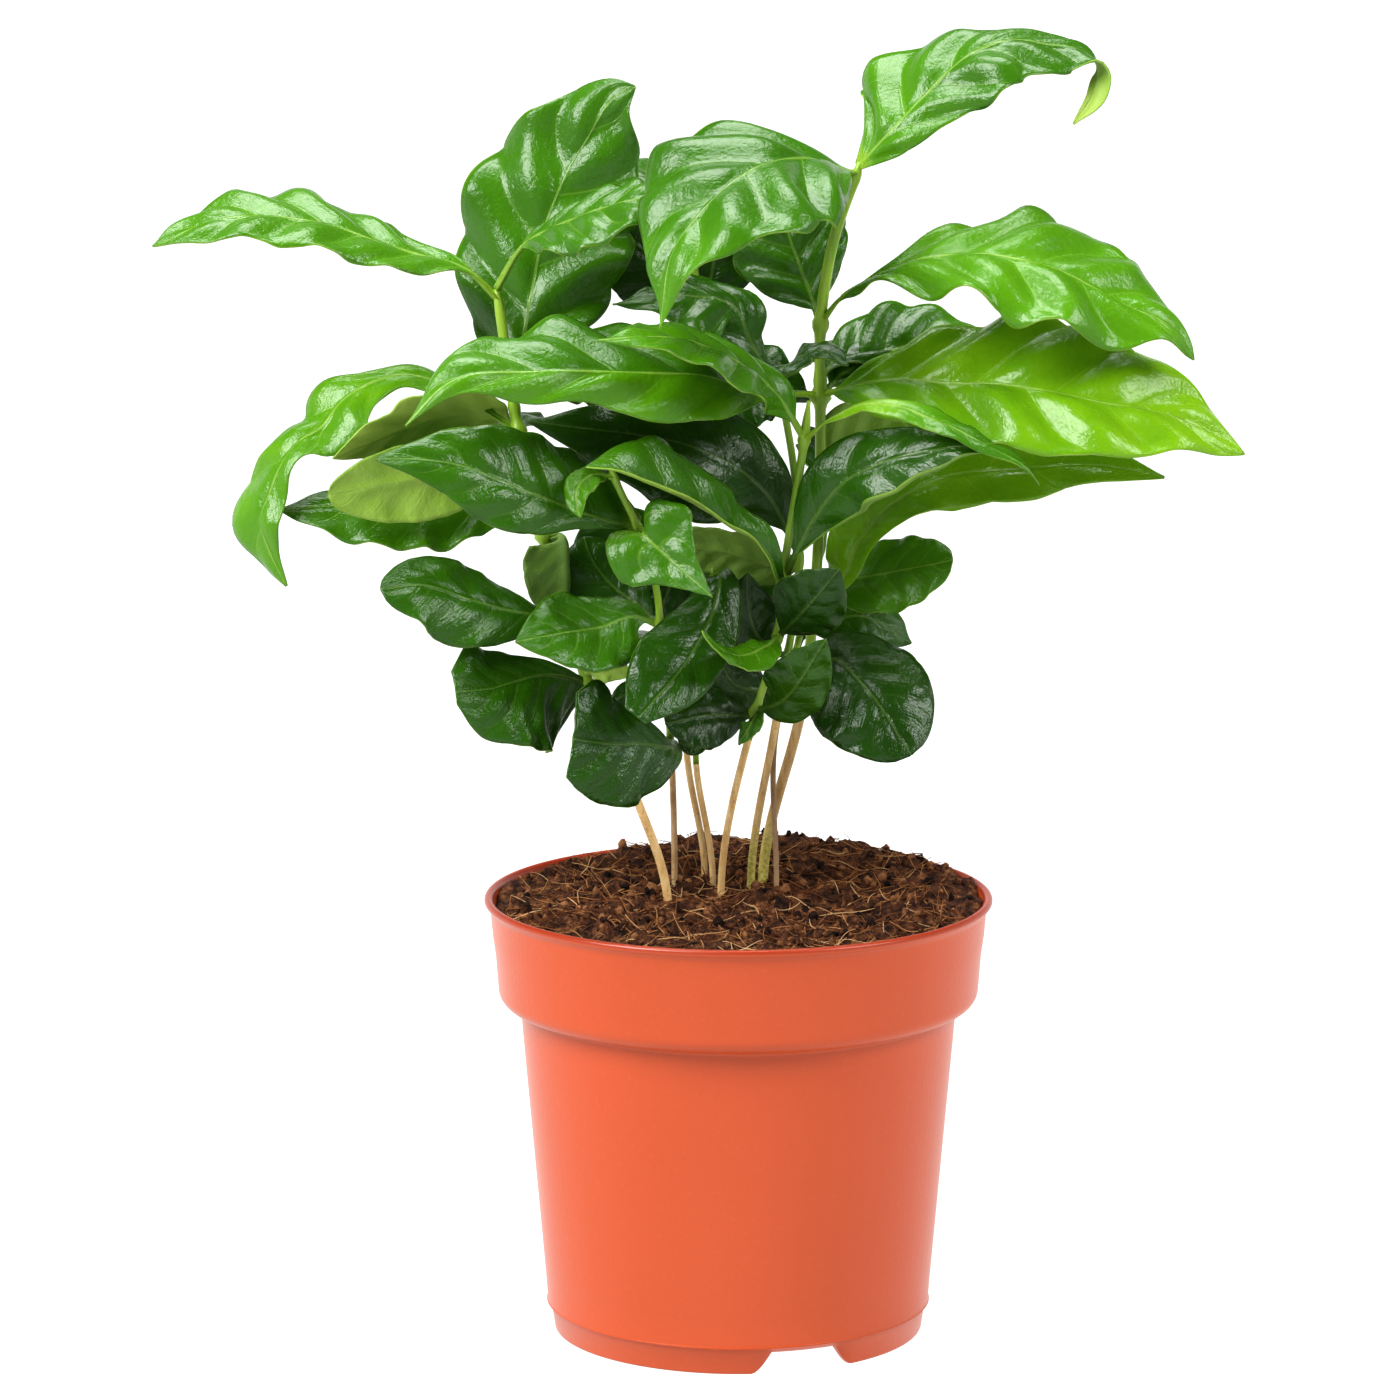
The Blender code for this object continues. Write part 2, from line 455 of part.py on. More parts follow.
def blade_surface(shape, stem, rows):
    u = np.linspace(0.0, 1.0, rows)
    middle = smooth_curve([stem_point(stem, shape["height"]), *shape["path"]], u)
    along = unit(np.gradient(middle, u, axis=0))
    face = spread_rows(shape["face"], u)
    up = unit(face - (face * along).sum(-1, keepdims=True) * along)
    side = np.cross(along, up)
    s = np.clip((u - shape["neck"]) / (1 - shape["neck"]), 0.0, 1.0)
    width = outline_width(shape["kind"], s)
    signed = np.array(SPREAD)
    right = (signed > 0).astype(int)
    v = np.abs(signed)[None, :]
    half = spread_rows(half_rows(shape), u)[:, right]
    reach = np.maximum(half * width[:, None], np.where(u < 0.5, STALK, TIP)[:, None])
    fold = np.radians(spread_rows(shape["fold"], u))[:, right]
    curl = math.radians(shape["curl"])
    out = (np.sin(fold) - np.sin(fold - curl * v)) / curl * np.sign(signed)
    rise = (np.cos(fold - curl * v) - np.cos(fold)) / curl
    turn = shape["waves"] * s[:, None] + both_sides(shape["phase"])[right][None, :]
    size = both_sides(shape["wave"])[right][None, :] * half * np.sqrt(np.sin(math.pi * s))[:, None]
    wave = size * v**2 * np.sin(2 * math.pi * turn)
    offset = side[:, None] * (reach * out)[..., None] + up[:, None] * (reach * rise + wave)[..., None]
    back = shape["lobe"] * np.sin(0.9 * math.pi * width[:, None] * v) * (1 - s[:, None]) ** 2
    return middle[:, None] + offset - along[:, None] * back[..., None]


# Two copies of a grid set half a thickness above and below it, every cell split the same way in both,
# closed by a rim.
def slab(grid, thickness):
    rows, columns = grid.shape[:2]
    normal = unit(np.cross(np.gradient(grid, axis=1), np.gradient(grid, axis=0)))
    top = (grid + normal * thickness[:, None, None] / 2).reshape(-1, 3)
    bottom = (grid - normal * thickness[:, None, None] / 2).reshape(-1, 3)
    number = np.arange(rows * columns).reshape(rows, columns)
    a, b = number[:-1, :-1].ravel(), number[:-1, 1:].ravel()
    c, d = number[1:, 1:].ravel(), number[1:, :-1].ravel()
    upper = np.concatenate([np.stack([a, b, c], 1), np.stack([a, c, d], 1)])
    lower = upper[:, ::-1] + rows * columns
    loop = np.concatenate([number[0, :-1], number[:-1, -1], number[-1, :0:-1], number[:0:-1, 0]])
    after = np.roll(loop, -1)
    under = loop + rows * columns
    under_after = after + rows * columns
    rim = np.concatenate([np.stack([after, loop, under], 1), np.stack([after, under, under_after], 1)])
    return np.concatenate([top, bottom]), np.concatenate([upper, lower, rim])


def add_leaf(name, shape, stem):
    length = np.linalg.norm(np.diff(shape["path"], axis=0), axis=1).sum()
    rows = int(np.interp(length, ROW_LENGTHS, ROWS))
    grid = blade_surface(shape, stem, rows)
    u = np.linspace(0.0, 1.0, rows)
    thickness = BLADE * (1 + np.clip(1 - u / max(shape["neck"], 0.1), 0, 1))
    points, faces = slab(grid, thickness)
    return add_object(name, points, faces)


# A round bar along a line of points: one ring of corners about each point, closed by a fan at each end.
def add_bar(name, line, radii, paint=None, sides=BAR_SIDES):
    count = len(line)
    along = unit(np.gradient(line, axis=0))
    across = unit(np.cross(along, (0.0, 1.0, 0.0)))
    other = np.cross(across, along)
    angle = np.linspace(0, 2 * math.pi, sides, endpoint=False)
    ring = across[:, None] * np.cos(angle)[None, :, None] + other[:, None] * np.sin(angle)[None, :, None]
    points = (line[:, None] + ring * radii[:, None, None]).reshape(-1, 3)
    faces = []
    for i in range(count - 1):
        for j in range(sides):
            k = (j + 1) % sides
            faces.append((i * sides + j, (i + 1) * sides + j, (i + 1) * sides + k, i * sides + k))
    faces.append(range(sides))
    faces.append([(count - 1) * sides + j for j in reversed(range(sides))])
    made = add_object(name, points, faces, paint)
    turn_outwards(made)
    return made


def turn_outwards(made):
    shape = bmesh.new()
    shape.from_mesh(made.data)
    bmesh.ops.recalc_face_normals(shape, faces=shape.faces)
    shape.to_mesh(made.data)
    shape.free()


# The wood and the green shoot are two bars along one line, with a gap where the bark ends.
def add_seedling(key, plant, bark, green):
    fine = np.linspace(0, 1, 200)
    heights = smooth_curve(plant["line"], fine)[:, 2]
    length = np.linalg.norm(np.diff(plant["line"], axis=0), axis=1).sum()
    bark_end = fine[np.argmax(heights > plant["bark"])]
    wood_u = np.linspace(0, bark_end, WOOD_RINGS)
    green_u = np.linspace(bark_end + GAP / length, 1, GREEN_RINGS)
    wood = smooth_curve(plant["line"], wood_u)
    add_bar("stem_" + key, wood, np.interp(wood_u, (0, 1), plant["radii"]), bark)
    radii = np.interp(green_u, (0, 1), plant["radii"])
    radii[-1] = BUD_RADIUS
    shoot = add_bar("shoot_" + key, smooth_curve(plant["line"], green_u), radii, green)
    blades = []
    for i, shape in enumerate(plant["leaves"]):
        blades.append(add_leaf(f"leaf_{key}_{i}", shape, plant["line"]))
    join_solids(shoot, blades)
    shoot.data.materials.clear()
    shoot.data.materials.append(green)


# A profile of (radius, height) turned about the pot's axis and closed by a flat cap at each end.
def lathe(name, profile, sides, paint=None):
    angle = np.linspace(0, 2 * math.pi, sides, endpoint=False)
    radius, height = np.asarray(profile, float).T
    points = np.stack([np.outer(radius, np.cos(angle)), np.outer(radius, np.sin(angle)),
                       np.outer(height, np.ones(sides))], -1).reshape(-1, 3)
    faces = []
    for i in range(len(radius) - 1):
        for j in range(sides):
            k = (j + 1) % sides
            faces.append((i * sides + j, i * sides + k, (i + 1) * sides + k, (i + 1) * sides + j))
    faces.append([j for j in reversed(range(sides))])
    faces.append([(len(radius) - 1) * sides + j for j in range(sides)])
    made = add_object(name, points, faces, paint)
    turn_outwards(made)
    return made


def arc(centre, radius, start, end, steps):
    angle = np.radians(np.linspace(start, end, steps))
    return [(centre[0] + radius * math.cos(a), centre[1] + radius * math.sin(a)) for a in angle]


def add_pot(paint):
    shoulder = arc((BAND_FOOT_RADIUS - SHOULDER_ROUND, BAND_FOOT), SHOULDER_ROUND, 0, -SHOULDER_TURN, 5)
    bead_middle = (RIM_RADIUS - BEAD, POT_HEIGHT - BEAD)
    outside = [
        (CAP_RADIUS, FLOOR_UNDER),
        (FOOT_RADIUS - FOOT_WALL, FLOOR_UNDER),
        (FOOT_RADIUS - FOOT_WALL, 0),
        (FOOT_RADIUS, 0),
        (BODY_FOOT_RADIUS - FLOOR_STEP, STEP_HEIGHT - FLOOR_STEP / 2),
        (BODY_FOOT_RADIUS + RIDGE, STEP_HEIGHT),
        (BODY_FOOT_RADIUS, STEP_HEIGHT + FLOOR_STEP),
        (BODY_TOP_RADIUS, BODY_TOP - WALL),
        *reversed(shoulder),
        (BAND_TOP_RADIUS, POT_HEIGHT - BEAD_DROP),
        *arc(bead_middle, BEAD, BEAD_START, 90, 5),
        (BAND_TOP_RADIUS - WALL + INNER_LIP, POT_HEIGHT),
    ]
    pot = lathe("pot", outside + pot_inside(), POT_SIDES, paint)
    cutters = [foot_notch(angle) for angle in NOTCH_ANGLES]
    for i in range(DRAINS):
        angle = 2 * math.pi * i / DRAINS
        middle = (DRAIN_RING * math.cos(angle), DRAIN_RING * math.sin(angle))
        low, high = FLOOR_UNDER - CUTTER_REACH, FLOOR_TOP + CUTTER_REACH
        cutters.append(upright_cutter(middle, DRAIN_RADIUS, low, high))
    join_solids(pot, cutters, "DIFFERENCE")


# The inner wall from the rim down to the floor.
def pot_inside():
    return [
        (BAND_TOP_RADIUS - WALL, POT_HEIGHT - INNER_LIP),
        (BAND_FOOT_RADIUS - WALL, BAND_FOOT + WALL),
        (BODY_TOP_RADIUS - WALL, BODY_TOP - INNER_LIP),
        (BODY_FOOT_RADIUS - WALL, FLOOR_TOP),
        (CAP_RADIUS, FLOOR_TOP),
    ]


def upright_cutter(middle, radius, low, high):
    line = np.array([(*middle, low), (*middle, high)])
    return add_bar("cutter", line, np.array([radius, radius]), sides=CUTTER_SIDES)


# A block with slanted sides and rounded upper corners, set across the foot ring.
def foot_notch(angle_degrees):
    top_half = FOOT_RADIUS * math.radians(NOTCH_TOP_ANGLE / 2)
    foot_half = FOOT_RADIUS * math.radians(NOTCH_FOOT_ANGLE / 2)
    corner = arc((top_half - NOTCH_ROUND, NOTCH_HEIGHT - NOTCH_ROUND), NOTCH_ROUND, 20, 90, 4)
    right = [(foot_half + 1, -1), (foot_half, 0), *corner]
    outline = right + [(-x, z) for x, z in reversed(right)]
    count = len(outline)
    turn = math.radians(angle_degrees)
    points = []
    for depth in (FOOT_RADIUS - NOTCH_REACH, FOOT_RADIUS + NOTCH_REACH):
        for x, z in outline:
            east = depth * math.cos(turn) - x * math.sin(turn)
            north = depth * math.sin(turn) + x * math.cos(turn)
            points.append((east, north, z))
    faces = [[j for j in range(count)], [count + j for j in reversed(range(count))]]
    for j in range(count):
        k = (j + 1) % count
        faces.append((k, j, count + j, count + k))
    block = add_object("cutter", points, faces)
    turn_outwards(block)
    return block


# Height of the mix: a slight slope up to the back, a heap behind and to the right, and lumps as
# products of sines.
def soil_height(x, y):
    towards = (HEAP_TOWARDS[0] * x + HEAP_TOWARDS[1] * y) / POT_INNER
    heap = np.clip(towards, 0, 1) ** HEAP_BEND
    lumps = np.sin(0.29 * x + 1.2) * np.sin(0.33 * y + 0.4) + 0.6 * np.sin(0.47 * x - 0.38 * y)
    return SOIL_TOP + SOIL_TILT * y / POT_INNER + SOIL_HEAP * heap + SOIL_LUMPS * lumps


def add_soil(paint):
    inside = pot_inside()
    top_edge = POT_INNER - GAP
    rings = np.linspace(0, 1, SOIL_RINGS + 1)[1:] * top_edge
    angle = np.linspace(0, 2 * math.pi, SOIL_SIDES, endpoint=False)
    x = np.outer(rings, np.cos(angle))
    y = np.outer(rings, np.sin(angle))
    height = soil_height(x, y)
    height[-1] -= SOIL_EDGE_DROP
    layers = [np.stack([x, y, height], -1)]
    low_wall = [(inside[1][0] - GAP, inside[1][1] + GAP), (inside[2][0] - GAP, inside[2][1] + GAP),
                (inside[3][0] - GAP, FLOOR_TOP + GAP)]
    for radius, z in low_wall:
        ring = [radius * np.cos(angle), radius * np.sin(angle), np.full(SOIL_SIDES, z)]
        layers.append(np.stack(ring, -1)[None])
    grid = np.concatenate(layers)
    points = np.vstack([grid.reshape(-1, 3), (0, 0, soil_height(0.0, 0.0))])
    faces = []
    for i in range(len(grid) - 1):
        for j in range(SOIL_SIDES):
            k = (j + 1) % SOIL_SIDES
            a = i * SOIL_SIDES + j
            b = i * SOIL_SIDES + k
            faces += [(a, b, b + SOIL_SIDES), (a, b + SOIL_SIDES, a + SOIL_SIDES)]
    faces += [(len(points) - 1, (j + 1) % SOIL_SIDES, j) for j in range(SOIL_SIDES)]
    faces.append([(len(grid) - 1) * SOIL_SIDES + j for j in range(SOIL_SIDES)])
    soil = add_object("growing_mix", points, faces, paint)
    turn_outwards(soil)
    holes = []
    for plant in SEEDLINGS.values():
        middle = plant["line"][0][:2]
        radius = plant["radii"][0] + HOLE_SPARE
        holes.append(upright_cutter(middle, radius, HOLE_FLOOR, POT_HEIGHT + SOIL_HEAP))
    join_solids(soil, holes, "DIFFERENCE")


clear_scene()
add_pot(material("pot_plastic", (0.78, 0.16, 0.05), 0.4))
add_soil(material("soil", (0.05, 0.025, 0.012), 0.95))
bark_paint = material("bark", (0.55, 0.38, 0.18), 0.7)
leaf_paint = material("leaf", (0.05, 0.25, 0.02), 0.25)
for seedling_key, seedling in SEEDLINGS.items():
    add_seedling(seedling_key, seedling, bark_paint, leaf_paint)
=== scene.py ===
import math
import bpy
import numpy as np
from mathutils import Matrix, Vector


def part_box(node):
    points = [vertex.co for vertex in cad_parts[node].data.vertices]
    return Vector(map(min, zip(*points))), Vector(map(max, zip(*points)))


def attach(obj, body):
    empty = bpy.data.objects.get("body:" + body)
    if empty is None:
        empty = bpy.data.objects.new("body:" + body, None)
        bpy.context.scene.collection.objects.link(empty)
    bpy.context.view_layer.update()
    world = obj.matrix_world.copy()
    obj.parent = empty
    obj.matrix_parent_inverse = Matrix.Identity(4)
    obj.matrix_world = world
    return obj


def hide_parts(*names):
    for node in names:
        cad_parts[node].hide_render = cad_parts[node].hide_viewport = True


# Potted coffee plant. Shapes are worked out in millimetres about the pot's axis, x to the right,
# y away from the viewer, z up from the table, and placed in metres in the frame.
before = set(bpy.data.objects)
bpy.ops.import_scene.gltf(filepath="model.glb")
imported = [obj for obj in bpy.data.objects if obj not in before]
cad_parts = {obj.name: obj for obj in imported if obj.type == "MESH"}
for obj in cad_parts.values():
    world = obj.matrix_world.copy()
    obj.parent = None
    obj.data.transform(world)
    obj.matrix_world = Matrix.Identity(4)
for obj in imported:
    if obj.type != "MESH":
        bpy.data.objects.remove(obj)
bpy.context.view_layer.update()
mm = 0.001
tau = 2 * math.pi
potLow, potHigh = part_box("pot")
potAxis = np.array([(potLow[0] + potHigh[0]) / 2, (potLow[1] + potHigh[1]) / 2, 0.0])


class Values(dict):
    # the values that a user would change, read as values.name
    __getattr__ = dict.__getitem__


# camera, lights and floor

view = Values(
    side=-9.0, distance=1550.0, height=446.0, pitch=10.8, lens=174.16, sensor=36.0, farthest=50.0,
)
studio = Values(
    wall=(1.0, 1.0, 1.0), wallStrength=1.0, ceilingStrength=0.12, wallTop=0.18, ceilingStart=0.5,
    frontStrength=0.25, frontEnd=-0.6, backStart=0.2, look="Medium High Contrast",
)
ground = Values(colour=(0.06, 0.06, 0.06), glow=1.0, radius=8.0, sides=96, below=0.0002)
lampAim = (0, 0, 0.2)
lamps = {
    "keyLamp": Values(place=(-1.2, -0.95, 1.45), size=1.3, power=60.0),
    "fillLamp": Values(place=(1.35, -0.75, 1.25), size=0.9, power=22.0),
    "topLamp": Values(place=(-0.1, 0.35, 1.75), size=1.2, power=32.0),
}


def placed(points):
    return np.asarray(points, float) * mm + potAxis


def addObject(name, data):
    made = bpy.data.objects.new(name, data)
    bpy.context.scene.collection.objects.link(made)
    return made


def addCamera(v):
    data = bpy.data.cameras.new("camera")
    data.lens = v.lens
    data.sensor_width = v.sensor
    data.clip_end = v.farthest
    camera = addObject("camera", data)
    camera.location = placed((v.side, -v.distance, v.height))
    camera.rotation_euler = (math.radians(90.0 - v.pitch), 0.0, 0.0)
    bpy.context.scene.camera = camera


def addLamp(name, v):
    data = bpy.data.lights.new(name, "AREA")
    data.shape = "DISK"
    data.size = v.size
    data.energy = v.power
    lamp = addObject(name, data)
    away = np.array(v.place, float) - np.array(lampAim, float)
    lamp.location = v.place
    tilt = math.atan2(math.hypot(away[0], away[1]), away[2])
    lamp.rotation_euler = (tilt, 0.0, math.atan2(away[1], away[0]) + math.pi / 2)


def addWorld(v):
    # A bright wall behind, a dim one in front and a dark ceiling: strength falls with the height of
    # the direction looked in and towards the front. The camera itself sees plain white.
    world = bpy.data.worlds.new("studio")
    world.use_nodes = True
    nodes, links = world.node_tree.nodes, world.node_tree.links
    background = nodes["Background"]
    background.inputs["Color"].default_value = (*v.wall, 1.0)
    parts = nodes.new("ShaderNodeSeparateXYZ")
    links.new(nodes.new("ShaderNodeTexCoord").outputs["Generated"], parts.inputs[0])
    both = nodes.new("ShaderNodeMath")
    both.operation = "MULTIPLY"
    fades = (
        ("Z", (v.wallTop, v.ceilingStart, v.wallStrength, v.ceilingStrength)),
        ("Y", (v.frontEnd, v.backStart, v.frontStrength, 1.0)),
    )
    for target, (axis, ranges) in zip(both.inputs, fades):
        fade = nodes.new("ShaderNodeMapRange")
        fade.interpolation_type = "SMOOTHSTEP"
        for socket, number in zip(("From Min", "From Max", "To Min", "To Max"), ranges):
            fade.inputs[socket].default_value = number
        links.new(parts.outputs[axis], fade.inputs["Value"])
        links.new(fade.outputs["Result"], target)
    strength = nodes.new("ShaderNodeMath")
    strength.operation = "MAXIMUM"
    links.new(both.outputs[0], strength.inputs[0])
    links.new(nodes.new("ShaderNodeLightPath").outputs["Is Camera Ray"], strength.inputs[1])
    links.new(strength.outputs[0], background.inputs["Strength"])
    bpy.context.scene.world = world
    bpy.context.scene.view_settings.view_transform = "Standard"
    bpy.context.scene.view_settings.look = v.look


addCamera(view)
for lampName, lampValues in lamps.items():
    addLamp(lampName, lampValues)
addWorld(studio)
print("camera and lights ready")


# mesh helpers

def gridQuads(rows, columns, closed=False):
    number = np.arange(rows * columns).reshape(rows, columns)
    if closed:
        number = np.concatenate([number, number[:, :1]], axis=1)
    corners = (number[:-1, :-1], number[:-1, 1:], number[1:, 1:], number[1:, :-1])
    return np.stack([c.ravel() for c in corners], -1)


def fans(rings, sides, outwards=True):
    # triangles that close the first and the last ring, each round one of the two corners after them
    first = np.arange(sides)
    last = first + (rings - 1) * sides
    start = np.full(sides, rings * sides)
    caps = np.concatenate([
        np.stack([start, np.roll(first, -1), first], -1),
        np.stack([start + 1, last, np.roll(last, -1)], -1)])
    return caps if outwards else caps[:, [0, 2, 1]]


def circle(sides):
    return np.linspace(0, tau, sides, endpoint=False)


def shapeOf(points, quads, triangles=None, paint=0, uv=None, **values):
    # one closed shape: its corners, faces, material number, uv place and named value of each corner
    count = len(points)
    if triangles is None:
        triangles = np.zeros((0, 3), int)
    if uv is None:
        uv = np.zeros((count, 2))
    spread = {name: np.broadcast_to(np.asarray(value, float), (count,))
              for name, value in values.items()}
    return Values(
        points=points, quads=quads, triangles=triangles, paint=paint, uv=uv, named=spread)


def addPiece(name, shapes, materials, nodes):
    # puts all the shapes into one mesh, in metres, and gives it to the frame
    starts = np.cumsum([0] + [len(shape.points) for shape in shapes])
    points = placed(np.concatenate([shape.points for shape in shapes]))
    loops, sizes, paints = [], [], []
    for shape, start in zip(shapes, starts):
        for faces in (shape.quads, shape.triangles):
            loops.append(faces.ravel() + start)
            sizes.append(np.full(len(faces), faces.shape[1]))
            paints.append(np.full(len(faces), shape.paint))
    loops = np.concatenate(loops).astype(np.int32)
    sizes = np.concatenate(sizes).astype(np.int32)
    loopStarts = np.concatenate([[0], np.cumsum(sizes)[:-1]]).astype(np.int32)
    mesh = bpy.data.meshes.new(name)
    mesh.vertices.add(len(points))
    mesh.vertices.foreach_set("co", points.astype(np.float32).ravel())
    mesh.loops.add(len(loops))
    mesh.loops.foreach_set("vertex_index", loops)
    mesh.polygons.add(len(sizes))
    mesh.polygons.foreach_set("loop_start", loopStarts)
    mesh.polygons.foreach_set("material_index", np.concatenate(paints).astype(np.int32))
    mesh.polygons.foreach_set("use_smooth", np.ones(len(sizes), bool))
    mesh.update(calc_edges=True)
    uv = np.concatenate([shape.uv for shape in shapes])[loops]
    mesh.uv_layers.new(name="surfaceUV").data.foreach_set("uv", uv.astype(np.float32).ravel())
    for valueName in shapes[0].named:
        values = np.concatenate([shape.named[valueName] for shape in shapes])
        layer = mesh.attributes.new(valueName, "FLOAT", "POINT")
        layer.data.foreach_set("value", values.astype(np.float32))
    for material in materials:
        mesh.materials.append(material)
    piece = addObject(name, mesh)
    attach(piece, "root")
    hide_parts(*nodes)
    return piece


class Paint:
    # A material and short ways to add nodes to it. An input is a number, a colour or an output.
    def __init__(self, name):
        self.material = bpy.data.materials.new(name)
        self.material.use_nodes = True
        self.tree = self.material.node_tree
        self.shader = self.tree.nodes["Principled BSDF"]

    def fill(self, node, inputs):
        for name, value in inputs.items():
            socket = node.inputs[name]
            if isinstance(value, bpy.types.NodeSocket):
                self.tree.links.new(value, socket)
            elif socket.type == "RGBA":
                socket.default_value = (*value, 1.0)
            else:
                socket.default_value = value

    def node(self, kind, inputs=None, **settings):
        made = self.tree.nodes.new("ShaderNode" + kind)
        for name, value in settings.items():
            setattr(made, name, value)
        self.fill(made, inputs or {})
        return made

    def surface(self, inputs):
        self.fill(self.shader, inputs)

    def math(self, operation, *numbers):
        return self.node("Math", dict(enumerate(numbers)), operation=operation).outputs[0]

    def mapped(self, value, low, high, outLow=0.0, outHigh=1.0):
        inputs = {"Value": value, "From Min": low, "From Max": high, "To Min": outLow,
                  "To Max": outHigh}
        return self.node("MapRange", inputs, interpolation_type="SMOOTHSTEP").outputs["Result"]

    def mixed(self, share, first, second):
        return self.node("Mix", {0: share, 6: first, 7: second}, data_type="RGBA").outputs[2]

    def ramp(self, value, stops):
        made = self.node("ValToRGB", {"Fac": value})
        elements = made.color_ramp.elements
        while len(elements) < len(stops):
            elements.new(1.0)
        for element, (place, colour) in zip(elements, stops):
            element.position = place
            element.color = (*colour, 1.0)
        return made.outputs["Color"]

    def noise(self, scale, detail, roughness, stretch=None):
        place = self.node("TexCoord").outputs["Object"]
        if stretch:
            place = self.node("Mapping", {"Vector": place, "Scale": stretch}).outputs["Vector"]
        inputs = {"Vector": place, "Scale": scale, "Detail": detail, "Roughness": roughness}
        return self.node("TexNoise", inputs).outputs["Fac"]

    def named(self, name):
        return self.node("Attribute", attribute_name=name).outputs["Fac"]

    def bumped(self, height, distance):
        inputs = {"Height": height, "Distance": distance, "Strength": 1.0}
        return self.node("Bump", inputs).outputs["Normal"]


# curves in space

def unit(vectors):
    return vectors / np.linalg.norm(vectors, axis=-1, keepdims=True)


def cubic(given, at, u):
    # cubic spans through the rows, each slope the mean of those of the two spans that meet there
    slope = np.gradient(given, at, axis=0)
    k = np.clip(np.searchsorted(at, u, "right") - 1, 0, len(at) - 2)
    span = (at[k + 1] - at[k])[:, None]
    s = (u[:, None] - at[k][:, None]) / span
    return ((2 * s**3 - 3 * s**2 + 1) * given[k] + (s**3 - 2 * s**2 + s) * span * slope[k]
            + (3 * s**2 - 2 * s**3) * given[k + 1] + (s**3 - s**2) * span * slope[k + 1])


def smoothCurve(points, u):
    given = np.asarray(points, float)
    steps = np.linalg.norm(np.diff(given, axis=0), axis=1)
    return cubic(given, np.concatenate([[0.0], np.cumsum(steps)]) / steps.sum(), u)


def spreadRows(rows, u):
    table = np.atleast_2d(np.asarray(rows, float))
    at = np.linspace(0.0, 1.0, len(table))
    if len(table) > 2:
        return cubic(table, at, u)
    return np.stack([np.interp(u, at, column) for column in table.T], -1)


def bothSides(value):
    return np.broadcast_to(np.asarray(value, float), (2,))


def tube(line, radii, sides, paint=0, **values):
    # a ring of corners round each point of the line, square to it, closed by a fan at each end
    line = np.asarray(line, float)
    count = len(line)
    along = unit(np.gradient(line, axis=0))
    aside = np.eye(3)[np.argmin(np.abs(along).mean(0))]
    across = unit(np.cross(along, aside))
    other = np.cross(along, across)
    angle = circle(sides)
    ring = (across[:, None] * np.cos(angle)[None, :, None]
            + other[:, None] * np.sin(angle)[None, :, None])
    radii = np.broadcast_to(np.asarray(radii, float), (count,))
    points = (line[:, None] + ring * radii[:, None, None]).reshape(-1, 3)
    points = np.concatenate([points, line[:1], line[-1:]])
    uv = np.stack([np.repeat(np.linspace(0, 1, count), sides), np.tile(angle / tau, count)], -1)
    uv = np.concatenate([uv, [[0.0, 0.5], [1.0, 0.5]]])
    quads = gridQuads(count, sides, closed=True)
    return shapeOf(points, quads, fans(count, sides), paint, uv, **values)


# leaves and stems

# place of the widest point, how blunt the base is, how blunt the tip is
outlines = {
    "slim": (0.55, 1.1, 1.0),
    "long": (0.42, 0.9, 1.2),
    "full": (0.50, 0.75, 0.85),
    "oval": (0.46, 0.85, 0.9),
    "egg": (0.60, 1.1, 0.55),
    "round": (0.52, 0.7, 0.5),
    "heart": (0.30, 0.4, 1.1),
}
blade = Values(
    thickness=0.35, stalkThickness=1.4, stalk=0.7, tip=0.2, bulge=0.15, scallop=0.08,
    groove=0.5, grooveWidth=1.4, ridge=0.3, ridgeWidth=0.45, rib=0.9, ribWidth=0.6, ruffle=0.2,
    ruffleWaves=(13, 7.3), unevenness=0.6, slowWaves=2.3, veinSlant=0.9, veinSet=0.35,
    rollStart=0.68, rollSpan=0.32, marginCrowding=1.35, rowsPerMm=0.65, leastRows=26,
    columnsPerMm=0.3, leastColumns=10,
)


# tone: 0 dark to 1 yellow-green, one number or rows of left and right from base to tip.
# height: where it leaves the stem. path: its midrib from there to the tip. face: where its upper
# side looks, base to tip. half: half widths left and right. fold: rise of each half. curl: droop
# towards the margin. wave, waves, phase: the margin's waves. neck: share that is stalk. veins: on
# each side. bulge, scallop: strength of the pillows between them, and of the rounded steps that
# they make in the margin. lobe: how far the margin reaches back beside the stalk. roll: degrees
# through which each margin's edge rolls up.
def leaf(tone, height, path, face, half, kind="long", fold=(5, 5), curl=30, wave=0.08, waves=5,
         phase=0.0, neck=0.08, veins=5.5, bulge=None, scallop=None, lobe=0.0, roll=(0, 0)):
    smooth = np.mean(tone) < 0.4 or kind in ("round", "oval", "egg")
    bulge = bulge or (0.3 if smooth else 1.0)
    scallop = scallop or (0.2 if smooth else 1.0)
    return Values(
        tone=tone, height=height, path=path, face=face, half=half, kind=kind, fold=fold, curl=curl,
        wave=wave, waves=waves, phase=phase, neck=neck, veins=veins, bulge=bulge, scallop=scallop,
        lobe=lobe, roll=roll)


